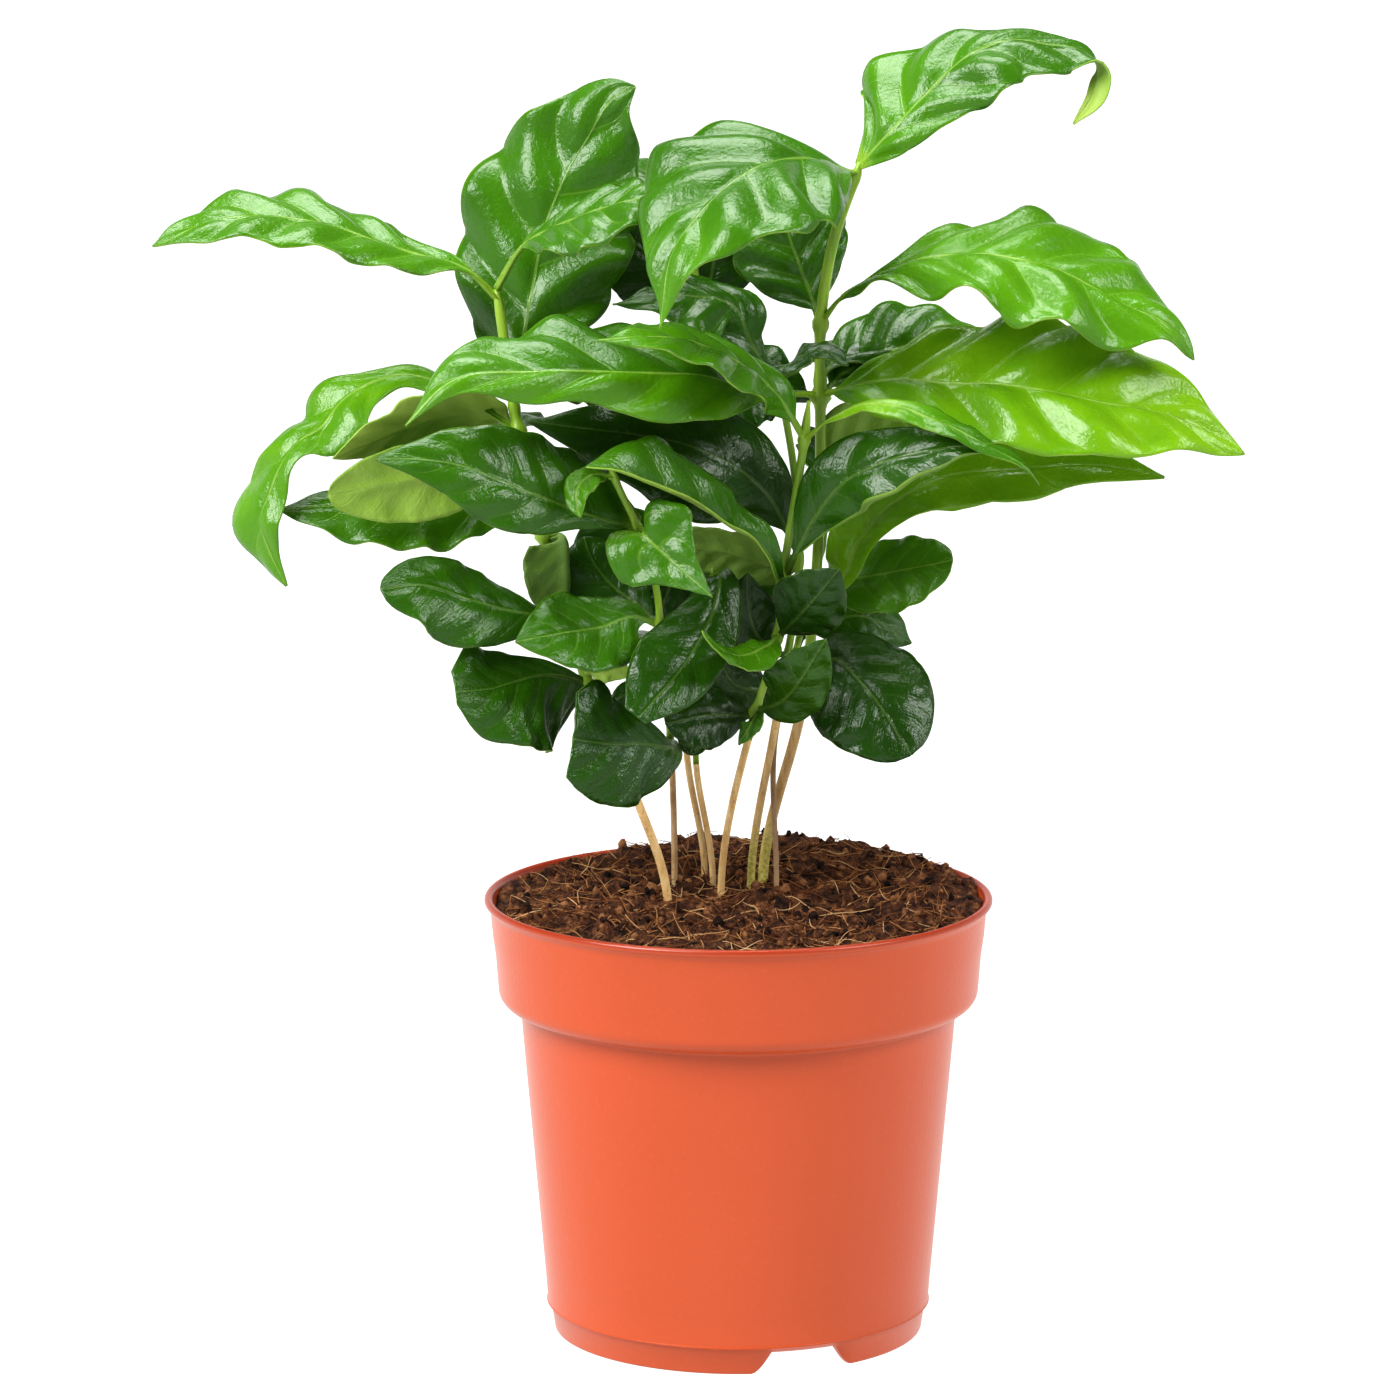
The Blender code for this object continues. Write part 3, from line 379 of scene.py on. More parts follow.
level = dict(fold=(0, 0), curl=20)
seedlings = {}
seedlings["a"] = Values(radii=(1.0, 1.2), bark=138,
    line=[(-16, 0, 92), (-17, 0, 106), (-24, -3, 128), (-36, -3, 157), (-45, -3, 189),
          (-51, 0, 214), (-56, 5, 246)], leaves=[
    leaf(0.7, 244, [(-62, 4, 250), (-78, 0, 256), (-98, -4, 263), (-118, -8, 264),
        (-134, -12, 258)], (0, -0.35, 1), (13, 16), kind="full", curl=20, waves=4.5, neck=0.1),
    leaf(0.58, 219, [(-49, 14, 240), (-43, 20, 265), (-36, 23, 278), (-28, 24, 289),
        (-24, 24, 291)], (-0.1, -1, 0.25), (21, 21), kind="full", fold=(0, 0), curl=25, wave=0.12,
        waves=4, phase=(0.1, 0.5), veins=4.5, bulge=1.2, scallop=1.8),
    leaf(0.6, 246, [(-50, 3, 256), (-37, -4, 264), (-22, -9, 269), (-9, -9, 271)], (0, -0.5, 1), 13,
        wave=0.07, neck=0.2),
    leaf(0.85, 214, [(-69, 0, 225), (-77, -1, 227), (-86, -4, 225), (-92, -6, 221), (-96, -8, 216),
        (-101, -10, 213), (-105, -12, 208), (-108, -13, 201), (-110, -14, 195), (-108, -15, 188),
        (-104, -16, 180)], [(0, -0.4, 1), (-0.1, -0.6, 0.8), (-0.6, -0.7, 0.5), (-0.7, -0.7, 0.1)],
        [(1, 1), (1, 1), (2, 2), (4, 4), (4, 4), (6.5, 6), (11, 9), (7.5, 7), (3.5, 7), (4.5, 11),
        (5.5, 10), (2.5, 6), (0.3, 0.3)], kind="given", wave=0.1, neck=0.02, scallop=1.5, **level),
    leaf(0.6, 209, [(-58, -2, 208), (-66, -12, 206), (-82, -19, 204), (-94, -22, 202)],
        (-0.1, 1, 0.1), (9, 10), kind="round", fold=(0, 0), curl=15, wave=0.03, neck=0.1),
    leaf(0.9, 214, [(-54, 4, 216), (-60, 0, 218), (-69, -6, 218), (-80, -12, 215), (-93, -18, 210)],
        (-0.2, 0.9, 0.6), (10, 7), kind="full", fold=(0, 0), curl=15, wave=0.05),
    leaf(0.66, 190, [(-55, -2, 196), (-70, -4, 198), (-87, -8, 198), (-106, -11, 197)],
        (0, -0.6, 0.8), (14, 10), kind="oval", **level),
    leaf(0.25, 189, [(-41, -6, 190), (-40, -8, 183), (-40, -9, 176), (-40, -9, 171)],
        (-0.3, 0.95, 0.1), (11, 1), kind="round", wave=0.02, neck=0.02, **level),
    leaf(0.37, 168, [(-43, -9, 171), (-54, -15, 174.5), (-62, -19, 177.5), (-72, -23, 181.5),
        (-82, -26, 181)], (-0.1, -0.75, 0.6), (12, 10), kind="egg", fold=(0, 0), curl=25, wave=0.02,
        neck=0.12),
    leaf(0.38, 155, [(-40.5, -9, 157.5), (-45, -12, 158.5), (-51.4, -17, 158), (-57.2, -21, 157),
        (-65, -25, 157)], (-0.1, -0.95, 0.3), [(1, 1), (13, 1.5), (17.5, 2.5), (18, 4), (17.5, 6),
        (16, 8.5), (13.5, 10.5), (10, 11), (3, 5)], kind="given", fold=(0, 0), curl=15, wave=0.03,
        waves=7, neck=0.04),
    leaf(0.7, 155, [(-35, -4, 158), (-30, -5, 159), (-25, -6, 157)], (0.2, 0.9, -0.3), 4,
        kind="oval", fold=(0, 0), curl=10, wave=0.03),
    leaf(0.3, 190, [(-50, 10, 196), (-58, 26, 198), (-66, 42, 190)], (-0.1, 0.1, 1), 12,
        kind="oval"),
    leaf(0.3, 212, [(-54, 14, 214), (-60, 30, 212), (-68, 46, 202)], (-0.2, 0.2, 1), 12),
])
seedlings["b"] = Values(radii=(0.72, 0.85), bark=136, brown=0.6,
    line=[(-15, 14, 92), (-15, 14, 106), (-16, 4, 141), (-18, -8, 162), (-19, -15, 179),
          (-23, -22, 194), (-29, -26, 208), (-30, -27, 211)], leaves=[
    leaf(0.45, 194, [(-34, -25, 198), (-48, -32, 204.5), (-66, -37, 212), (-74, -38, 213),
        (-82, -38, 213)], (-0.1, -0.85, 0.5), [(1, 3), (2, 11), (5, 14.5), (9, 15), (10.5, 14.5),
        (9.8, 12.5), (7.3, 9), (4, 4.6), (0.5, 0.5)], kind="given", wave=0.03, neck=0.05,
        bulge=0.5),
    leaf(0.58, 194, [(-22, -28, 195), (-21.7, -31, 194.4), (-16.5, -34, 190), (-11.3, -37, 185.8),
        (-6.2, -40, 181.7)], (0.1, -1, 0.05), [(11.5, 11.5), (11.5, 11.5), (11, 11), (6, 6.2),
        (5.5, 5.5)], kind="heart", curl=12, wave=0.02, neck=0.28, lobe=7.5, veins=4, bulge=0.4),
    leaf(0.75, 207, [(-34, -30, 208), (-37, -33, 205), (-37, -34, 202), (-36, -35, 199)],
        (-0.5, -0.7, 0.5), (4.5, 4), kind="oval", curl=10, wave=0),
    leaf(0.5, 170, [(-23, -12, 172), (-32, -19, 171), (-41, -27, 171), (-51, -33, 170)],
        (-0.1, -0.8, 0.6), (12, 12), kind="oval", curl=20, wave=0.02),
    leaf(0.2, 152, [(-22, -6, 152), (-26, -8, 153), (-30, -9, 151)], (0, -0.9, 0.3), 4, kind="oval",
        wave=0.03, **level),
    leaf(0.2, 170, [(-23, -8, 174), (-29, -5, 178), (-34, -3, 184), (-36, -1, 189)],
        (0.2, -0.9, 0.4), (9, 9), kind="egg", wave=0.03, **level),
    leaf(0.22, 140, [(-17.3, -17, 142.5), (-22, -21, 144), (-29.6, -26, 145), (-34.2, -28, 145.9),
        (-38, -30, 147)], (0.1, -0.95, 0.3), [(1, 1), (1.2, 1.2), (1.5, 1.5), (5, 2), (10.5, 4),
        (14, 7.5), (14.5, 11.5), (13, 15), (9, 11)], kind="given", fold=(0, 0), curl=15, wave=0.02,
        neck=0.3),
])
seedlings["c"] = Values(radii=(0.75, 0.9), bark=140,
    line=[(-8, 25, 92), (-8, 25, 106), (-12, 22, 132), (-12, 22, 170), (-11, 24, 213),
          (-9, 25, 236), (-13, 30, 264)], leaves=[
    leaf(0.1, 236, [(-16, 27, 246), (-26, 28, 256), (-34, 28, 266)], (0.3, -1, 0.2), 12, wave=0.06,
        **level),
    leaf(0.1, 236, [(-6, 27, 248), (-5, 29, 262), (-6, 30, 270)], (0.1, -1, 0.2), 11, wave=0.06,
        **level),
    leaf(0.3, 213, [(-22, 26, 222), (-36, 26, 224), (-50, 26, 218)], (-0.1, -0.6, 0.8), 13),
    leaf(0.3, 213, [(-2, 26, 220), (8, 28, 222), (18, 32, 216)], (0.1, -0.7, 0.7), 12, curl=20),
    leaf(0.2, 172, [(-20, 14, 180), (-28, 10, 185), (-38, 6, 181)], (0.1, -1, 0.2), (15, 10),
        kind="round", wave=0.04),
    leaf(0.3, 170, [(-4, 18, 176), (3, 14, 174), (8, 13, 167)], (0.1, -0.9, 0.3), 11, kind="round",
        wave=0.04),
    leaf(0.1, 182, [(-14, 18, 178), (-17, 15, 172), (-19, 13, 165)], (0.1, -1, 0.2), 7, kind="oval",
        wave=0.03, **level),
    leaf(0.4, 236, [(-12, 36, 243), (-16, 52, 243), (-20, 70, 234)], (0, 0.1, 1), 14),
    leaf(0.3, 213, [(-6, 38, 222), (-2, 54, 222), (2, 70, 212)], (0, 0.2, 1), 13),
    leaf(0.5, 262, [(-20, 42, 268), (-30, 58, 270), (-40, 76, 262)], (0, 0.1, 1), 15),
    leaf(0.5, 261, [(-8, 44, 263), (2, 60, 262), (14, 76, 252)], (0.1, 0.1, 1), 13),
    leaf(0.3, 150, [(-18, 34, 158), (-26, 46, 158), (-32, 58, 150)], (-0.1, 0.2, 1), 12, kind="egg",
        wave=0.04),
])
seedlings["d"] = Values(radii=(0.75, 0.75), bark=133,
    line=[(-6, 14, 92), (-6, 14, 106), (-10, 10, 135), (-9, 4, 154), (-6, -2, 179),
          (-6, -2, 182)], leaves=[
    leaf(0.22, 180, [(-4.5, -7, 181), (-6, -14, 173.6), (-9.7, -21, 167.2), (-14.3, -28, 161.5),
        (-19.3, -33, 156.6), (-23, -36, 153)], (0.1, -0.9, 0.4), [(1, 1), (4.5, 4), (6.5, 7),
        (8, 9.5), (8, 11.5), (7.5, 11.5), (5.5, 9), (2, 4)], kind="given", fold=(0, 0), curl=18,
        wave=0.05, waves=2.5, phase=(0.2, 0.6)),
    leaf(0.3, 144, [(-10, 2, 143), (-11, -4, 138)], (0, -0.8, 0.5), 4, kind="round", wave=0,
        **level),
])
seedlings["e"] = Values(radii=(0.82, 1.0), bark=141,
    line=[(-4, 4, 92), (-4, 4, 106), (4, -2, 148), (9, -4, 166), (10, -5, 178), (15, -8, 213),
          (16, -9, 222)], leaves=[
    leaf(0.7, 213, [(8, -14, 225), (-5, -26, 236), (-14, -34, 240), (-22, -40, 241),
        (-32, -46, 241)], (-0.3, -0.6, 0.8), (12, 14), wave=0.06, waves=4),
    leaf([(1.0, 1.0), (0.95, 0.95), (0.6, 0.6), (0.35, 0.5)], 213, [(21, -16, 219), (29, -20, 223),
        (36, -23, 223), (42, -25, 221), (50, -28, 218), (58, -31, 214), (65, -32, 210),
        (68, -32, 206)], (0.1, -0.3, 1), [(2, 2), (3, 3), (6, 4), (8, 3)], fold=(5, -20), curl=20,
        wave=0.05),
    leaf([(0.7, 0.5), (0.7, 0.5), (0.7, 0.65)], 178, [(6.7, -11, 186.4), (4, -13, 190),
        (-2.6, -18, 194.6), (-8.3, -23, 199.3), (-15.8, -29, 204), (-21.5, -33, 207),
        (-27.5, -37, 210), (-34.7, -40, 211.4)], (-0.3, -0.8, 0.6), [(1, 1), (1.2, 2.5), (1.5, 5.5),
        (2, 8), (2.2, 9.5), (2.4, 11.5), (2.2, 12), (1.6, 7), (0.3, 0.3)], kind="given",
        fold=(70, 5), curl=15, wave=0.02, waves=3, neck=0.02, bulge=0.5, roll=(60, 0)),
    leaf(0.35, 180, [(14, -8, 188), (18, -11, 196), (24, -15, 204), (32, -19, 209), (41, -22, 212),
        (51, -26, 214), (62, -26, 213)], (0.2, -0.8, 0.55), [(5, 5), (9, 9), (10, 11), (9, 10),
        (7, 8)], wave=(0.05, 0.1), bulge=0.6, roll=(0, 170), **level),
    leaf(0.7, 166, [(6, -16, 166), (0.6, -24, 165.4), (-4.4, -32, 168.5), (-8.5, -38, 173.5)],
        (0.1, -0.6, 0.8), (5.5, 4.5), kind="oval", wave=0.04, **level),
    leaf(0.2, 166, [(14, -10, 172), (23, -16, 184)], (0.3, -0.9, 0.3), 9, kind="oval", wave=0.04,
        **level),
    leaf(0.4, 148, [(10, -10, 152), (20, -18, 168)], (0.3, -0.9, 0.3), 8, kind="oval", wave=0.06,
        **level),
    leaf(0.1, 147, [(-6, -6, 148), (-17, -12, 147)], (0, -0.9, 0.5), 8, kind="round", wave=0.06,
        **level),
    leaf(0.6, 148, [(3, -9, 147), (0, -12, 142)], (-0.5, -0.8, 0.4), 3, kind="oval", wave=0,
        **level),
])
seedlings["f"] = Values(radii=(0.95, 0.85), bark=147, young=1.0,
    line=[(3, 9, 92), (3, 9, 106), (9, 5, 146), (14, 3, 183), (13, 5, 202), (9, 7, 226)], leaves=[
    leaf(0.4, 223, [(3, 5, 233), (-1, 4, 242), (-11, 1, 245), (-20, -3, 245), (-29, -7, 244)],
        (0, -0.6, 0.8), [(8, 8), (15, 8), (14, 9), (9, 8)], fold=(0, 0), curl=25, wave=0.12,
        waves=4, bulge=0.7),
    leaf(0.3, 223, [(12, -1, 230), (19, -3, 233), (25, -8, 230)], (0.1, -0.3, 1), 6, kind="oval",
        curl=20, wave=0.05),
    leaf(0.15, 184, [(5, -2, 201), (-10, -8, 211), (-24, -14, 215), (-36, -18, 217),
        (-49, -20, 219)], (-0.2, -0.8, 0.6), (17, 15), fold=(0, 0), curl=25, wave=0.05),
    leaf(0.42, 182, [(6, 7, 181.5), (-1, 8, 183.7), (-9, 9, 184.7), (-17, 9, 184)], (0, 1, 0.3),
        [(1, 1), (5, 5), (5.5, 5.5), (5.8, 5.8), (5.8, 5.8), (4, 4)], kind="given", fold=(0, 0),
        curl=15, wave=0.02),
    leaf(0.15, 160, [(8, 0, 162), (4, -3, 167), (2, -4, 175), (2, -4, 181)], (0, -1, 0.2), 8,
        kind="oval", wave=0.03, **level),
    leaf(0.12, 151, [(4, 3, 152), (-1, 1, 154), (-4.5, 0, 160)], (0, -1, 0.2), 6.5, kind="oval",
        wave=0.03, **level),
])
seedlings["g"] = Values(radii=(1.2, 1.3), bark=149, young=1.0,
    line=[(6, 16, 92), (6, 16, 106), (15, 13, 147), (19, 12, 196), (19, 11, 220), (19, 11, 237),
          (22, 10, 257), (28, 8, 275)], leaves=[
    leaf([(0.85, 0.8), (0.7, 0.65), (0.6, 0.55), (0.55, 0.5), (0.9, 0.9)], 274, [(35, 4, 283),
        (42, 6, 290), (49, 8, 297), (55, 9, 301), (62, 11, 303), (71, 12, 302), (80, 12, 300),
        (83, 11, 297), (82, 9, 292), (77, 7, 284)], [(-0.5, -0.75, 0.5), (-0.5, -0.75, 0.5),
        (-0.4, -0.75, 0.6), (-0.2, -0.6, 0.8), (-0.1, -0.5, 0.9), (0, -0.45, 0.9), (0.1, -0.4, 0.9),
        (0.7, 0.6, 0.3), (0.6, 0.8, 0.1)], [(1, 1), (14, 6.5), (20, 9.5), (16, 14), (9, 14),
        (6, 12), (5, 9), (2, 6), (0.3, 0.3)], kind="given", wave=0.05, neck=0.02, scallop=1.5,
        **level),
    leaf([(0.6, 0.6), (0.55, 0.5), (0.6, 0.55), (0.85, 0.8)], 272, [(14, -8, 278), (4, -18, 277),
        (-7, -30, 270), (-15, -38, 260), (-18, -42, 243)], [(-0.1, -0.6, 0.8), (-0.3, -0.7, 0.7),
        (-0.8, -0.6, 0.4)], [(20, 21), (24, 26), (24, 24), (18, 18)], fold=(8, 8), curl=35,
        wave=0.06, neck=0.03, veins=4.5, scallop=1.2),
    leaf(0.8, 237, [(23, 8, 243), (29, 3, 248), (41, -4, 254), (56, -9, 256), (72, -12, 253),
        (88, -14, 245), (98, -14, 240), (104, -13, 232)], [(0, -0.35, 1), (0.1, -0.5, 0.9),
        (0.5, -0.6, 0.7)], [(16, 16), (22, 16), (24, 18), (23, 16)], kind="slim", wave=(0.1, 0.2),
        waves=4, phase=(0.25, 0.6), scallop=1.4),
    leaf(0.5, 237, [(18, 13, 240), (12, 18, 256), (8, 22, 269), (6, 24, 280)], (-0.1, -1, 0.3),
        (15, 14), fold=(0, 0)),
    # painted light: this leaf's lower, nearer half (first number of each row) gets a lighter tone
    # than its far half, standing for light shining through the blade
    leaf([(0.9, 0.6), (0.85, 0.6), (0.8, 0.6), (0.85, 0.8)], 220, [(4, -5, 224), (-9, -19, 229.5),
        (-24, -29, 231.5), (-44, -38, 233), (-66, -46, 231), (-75, -48, 222)], [(-0.1, -0.6, 0.8),
        (-0.2, -0.6, 0.8), (-0.5, -0.6, 0.6)], [(11, 23), (12, 23), (13, 23), (8.5, 23), (11.5, 23),
        (11, 23)], fold=(-25, 8), wave=0.07, waves=4, neck=0.12),
    leaf([(0.95, 0.9), (0.95, 0.9), (0.97, 0.95), (1.05, 1.05)], 220, [(34, -3, 226), (49, -8, 226),
        (63, -12, 226), (81, -15, 223), (100, -15, 219), (116, -12, 210)], [(0, -0.7, 0.7),
        (0.1, -0.75, 0.7), (0.3, -0.7, 0.7)], [(20, 17), (21, 17), (23, 17), (19, 16)], kind="full",
        fold=(8, 8), curl=25, wave=(0.05, 0.09), neck=0.04, bulge=1.2, scallop=0.8),
    leaf(0.95, 172, [(24, 10, 177), (28, 6, 187), (35, 1, 196), (46, -3, 203), (66, -6, 206),
        (83, -8, 207), (98, -8, 204)], (0.1, -0.8, 0.6), [(1, 1), (6, 3), (8, 4), (9, 6),
        (9.5, 8.5), (9, 8.5), (7.5, 6.5), (4.5, 4), (0.3, 0.3)], kind="given", curl=20,
        wave=(0.05, 0.14), waves=4, bulge=0.5),
    leaf(0.62, 220, [(27, 20, 226), (44, 26, 231), (64, 30, 228)], (0, -0.8, 0.6), 13, wave=0.06,
        **level),
    leaf(0.5, 196, [(24, 14, 205), (38, 18, 212), (52, 20, 213)], (0.1, 1, 0.2), 12, wave=0.03,
        **level),
    leaf(0.4, 196, [(24, 26, 206), (30, 42, 208), (36, 60, 200)], (0.1, 0.1, 1), 13),
    leaf(0.15, 157, [(22, 6, 159), (31, -3, 152), (40, -9, 139)], (0.2, -1, 0.3), (15, 15),
        kind="round", fold=(0, 0), curl=25, wave=0.03),
    leaf(0.4, 224, [(26, 28, 230), (32, 44, 227), (34, 62, 214)], (0, 0.1, 1), 14),
])
seedlings["h"] = Values(radii=(0.6, 0.75), bark=141, brown=0.8,
    line=[(9, 8, 92), (9, 8, 106), (9, 13, 141), (13, 20, 156), (20, 28, 182),
          (21, 29, 186)], leaves=[
    leaf(0.75, 176, [(26, 19, 176), (39, 13, 179), (50, 8, 182)], (0.1, -0.8, 0.6), 10,
        kind="round", wave=0.06, **level),
    leaf(0.4, 162, [(29, 24, 166), (41, 26, 159)], (0.3, -0.8, 0.5), 9, kind="oval", wave=0.04,
        **level),
    leaf(0.3, 157, [(18, 32, 166), (24, 46, 168), (28, 60, 160)], (0.1, 0.2, 1), 12, kind="egg",
        wave=0.04),
    leaf(0.3, 182, [(14, 40, 190), (6, 52, 190), (0, 62, 182)], (-0.1, 0.2, 1), 12, kind="oval",
        wave=0.05),
])


def stemPoint(line, height):
    fine = smoothCurve(line, np.linspace(0, 1, 200))
    return fine[np.argmin(np.abs(fine[:, 2] - height))]


def outlineWidth(kind, s):
    # a power of a sine up to the widest place and a power of a cosine from there
    if kind == "given":
        return np.ones_like(s)
    widest, baseBlunt, tipBlunt = outlines[kind]
    swell = np.sin(math.pi / 2 * np.clip(s / widest, 0, 1)) ** baseBlunt
    taper = np.cos(math.pi / 2 * np.clip((s - widest) / (1 - widest), 0, 0.9999)) ** tipBlunt
    return np.where(s < widest, swell, taper)


def arcSum(step, v, middle):
    # length gone, from the midrib out to each place v, in the direction whose share is given there
    mean = 0.5 * (step[:, 1:] + step[:, :-1]) * np.abs(np.diff(v))
    whole = np.zeros_like(step)
    whole[:, middle + 1:] = np.cumsum(mean[:, middle:], axis=1)
    whole[:, :middle] = np.cumsum(mean[:, :middle][:, ::-1], axis=1)[:, ::-1]
    return whole


def bell(distance, width):
    return np.exp(-(distance / width) ** 2)


def rowsOf(value):
    # rows of left and right, or one row where both sides have one value all along
    return value if isinstance(value, list) else [bothSides(value)]


def bladeShape(p, line, seed):
    # The midrib carries a cross-section: each half leaves it at the fold angle and bends down in an
    # arc by the curl. On it lie the margin's sine waves, a pillow between each two veins, the
    # midrib's groove and a slow unevenness. The blade is the surface and its copy one thickness
    # below, joined by a rim.
    draw = np.random.default_rng(seed)
    path = [stemPoint(line, p.height), *p.path]
    length = np.linalg.norm(np.diff(path, axis=0), axis=1).sum()
    halfRows = rowsOf(p.half)
    rows = int(blade.leastRows + blade.rowsPerMm * length)
    columns = int(blade.leastColumns + blade.columnsPerMm * np.max(halfRows))
    u = np.linspace(0.0, 1.0, rows)
    across = np.linspace(-1.0, 1.0, 2 * columns + 1)
    signed = np.sign(across) * np.abs(across) ** blade.marginCrowding
    v = np.abs(signed)[None, :]
    right = (signed > 0).astype(int)

    # midrib, and the directions up from the blade and across it
    middle = smoothCurve(path, u)
    along = unit(np.gradient(middle, u, axis=0))
    face = spreadRows(p.face, u)
    up = unit(face - (face * along).sum(-1, keepdims=True) * along)
    side = np.cross(along, up)

    # how wide it is at each place, with the steps that the veins make in the margin
    s = np.clip((u - p.neck) / (1 - p.neck), 0.0, 1.0)
    share = s[:, None]
    least = np.where(u < 0.5, blade.stalk, blade.tip)[:, None]
    half = spreadRows(halfRows, u)[:, right]
    breadth = half * outlineWidth(p.kind, s)[:, None]
    width = np.clip(breadth / breadth.max(), 0, 1)
    middleHalf = breadth.max() * 0.85
    veinGap = length * (1 - p.neck) / p.veins
    slant = blade.veinSlant * middleHalf / veinGap
    vein = p.veins * share + blade.veinSet * right - slant * (0.75 * v + 0.25 * v**2)
    ripple = np.abs(np.sin(math.pi * vein))
    scallop = (ripple ** 0.7 - 0.6) * v**3 * np.sqrt(width)
    reach = np.maximum(breadth * (1 + blade.scallop * p.scallop * scallop), least)

    # the cross-section's arc
    roll = np.radians(bothSides(p.roll))[right]
    roll = roll * np.clip((v - blade.rollStart) / blade.rollSpan, 0, 1)
    bend = np.radians(spreadRows(p.fold, u))[:, right] - math.radians(p.curl) * v + roll
    out = arcSum(np.cos(bend), np.abs(signed), columns) * np.sign(signed)
    rise = arcSum(np.sin(bend), np.abs(signed), columns)

    # what rises from it or sinks into it
    turn = p.waves * share + bothSides(p.phase)[right][None, :]
    size = bothSides(p.wave)[right][None, :] * half * np.sqrt(np.sin(math.pi * s))[:, None]
    wave = size * v**2 * np.sin(tau * turn)
    body = np.clip(width * 1.3, 0, 1) * np.clip(s / 0.06, 0, 1)[:, None]
    cushion = 0.5 * ripple + 0.5 * np.sin(math.pi * vein) ** 2
    pillow = (cushion - 0.55) * (1 - np.exp(-v / 0.15)) * (1 - 0.55 * v**4)
    pillow = pillow * p.bulge * blade.bulge * middleHalf * body
    ribDistance = reach * v
    rib = (blade.ridge * bell(ribDistance, blade.ridgeWidth)
           - blade.groove * bell(ribDistance, blade.grooveWidth))
    starts = draw.uniform(0, tau, 5)
    short, long = blade.ruffleWaves
    ruffle = (np.sin(tau * short * share + starts[0] + 2 * right)
              + np.sin(tau * long * share + starts[1]))
    ruffle = blade.ruffle * 0.5 * v**5 * ruffle * body
    slow = (np.sin(tau * blade.slowWaves * share + 2.5 * signed + starts[2])
            * np.sin(3.1 * signed + 4 * share + starts[3]))
    slow = blade.unevenness * slow * v * body
    lift = reach * rise + wave + pillow + rib * body + ruffle + slow
    back = p.lobe * np.sin(0.9 * math.pi * width * v) * (1 - share) ** 2
    grid = middle[:, None] + side[:, None] * (reach * out)[..., None]
    grid = grid + up[:, None] * lift[..., None] - along[:, None] * back[..., None]

    # upper and lower surface, and the rim between them
    normal = unit(np.cross(np.gradient(grid, axis=1), np.gradient(grid, axis=0)))
    stalkShare = np.clip(1 - u / max(p.neck * 1.3, 0.05), 0, 1)[:, None] ** 0.7
    thickness = blade.thickness + (blade.stalkThickness - blade.thickness) * stalkShare
    below = blade.rib * (1 - 0.8 * u[:, None]) * bell(ribDistance, blade.ribWidth) * body
    top = grid + normal * (thickness / 2)[..., None]
    bottom = grid - normal * (thickness / 2 + below)[..., None]
    number = np.arange(grid.shape[0] * grid.shape[1]).reshape(grid.shape[:2])
    upper = gridQuads(*grid.shape[:2])
    loop = np.concatenate([number[0, :-1], number[:-1, -1], number[-1, :0:-1], number[:0:-1, 0]])
    after = np.roll(loop, -1)
    rim = np.stack([after, loop, loop + number.size, after + number.size], -1)
    quads = np.concatenate([upper, upper[:, ::-1] + number.size, rim])
    points = np.concatenate([top.reshape(-1, 3), bottom.reshape(-1, 3)])

    def onBoth(values):
        return np.tile(np.broadcast_to(values, number.shape).ravel(), 2)

    uv = np.stack([onBoth(share), onBoth(0.5 + 0.5 * signed[None, :])], -1)
    tone = spreadRows(rowsOf(p.tone), s)[:, right]
    return shapeOf(
        points, quads, None, 0, uv, tone=onBoth(tone), under=np.repeat([0.0, 1.0], number.size),
        vein=onBoth(vein) + 10, veinGap=veinGap, ribDistance=onBoth(ribDistance),
        stalk=onBoth(stalkShare))


stem = Values(
    sides=16, ringsPerMm=0.7, budTaper=5.0, budTip=0.3, nodeSwell=0.3, nodeLength=1.6, joint=0.001,
    youngTop=122, youngFade=10,
)


def stemShape(line, radii, start, end, heights, paint, bud=False, **values):
    # a round bar along the line between two shares of its length, thicker at each leaf's node
    length = np.linalg.norm(np.diff(line, axis=0), axis=1).sum()
    u = np.linspace(start, end, int((end - start) * length * stem.ringsPerMm) + 4)
    points = smoothCurve(line, u)
    radius = np.interp(u, (0, 1), radii)
    for height in heights:
        radius = radius * (1 + stem.nodeSwell * bell(points[:, 2] - height, stem.nodeLength))
    if bud:
        left = (1 - u) * length / stem.budTaper
        radius = radius * np.clip(left, stem.budTip, 1) ** 0.6
    return tube(points, radius, stem.sides, paint, **values)


def barkEnd(line, height):
    fine = np.linspace(0, 1, 400)
    return fine[np.argmax(smoothCurve(line, fine)[:, 2] > height)]


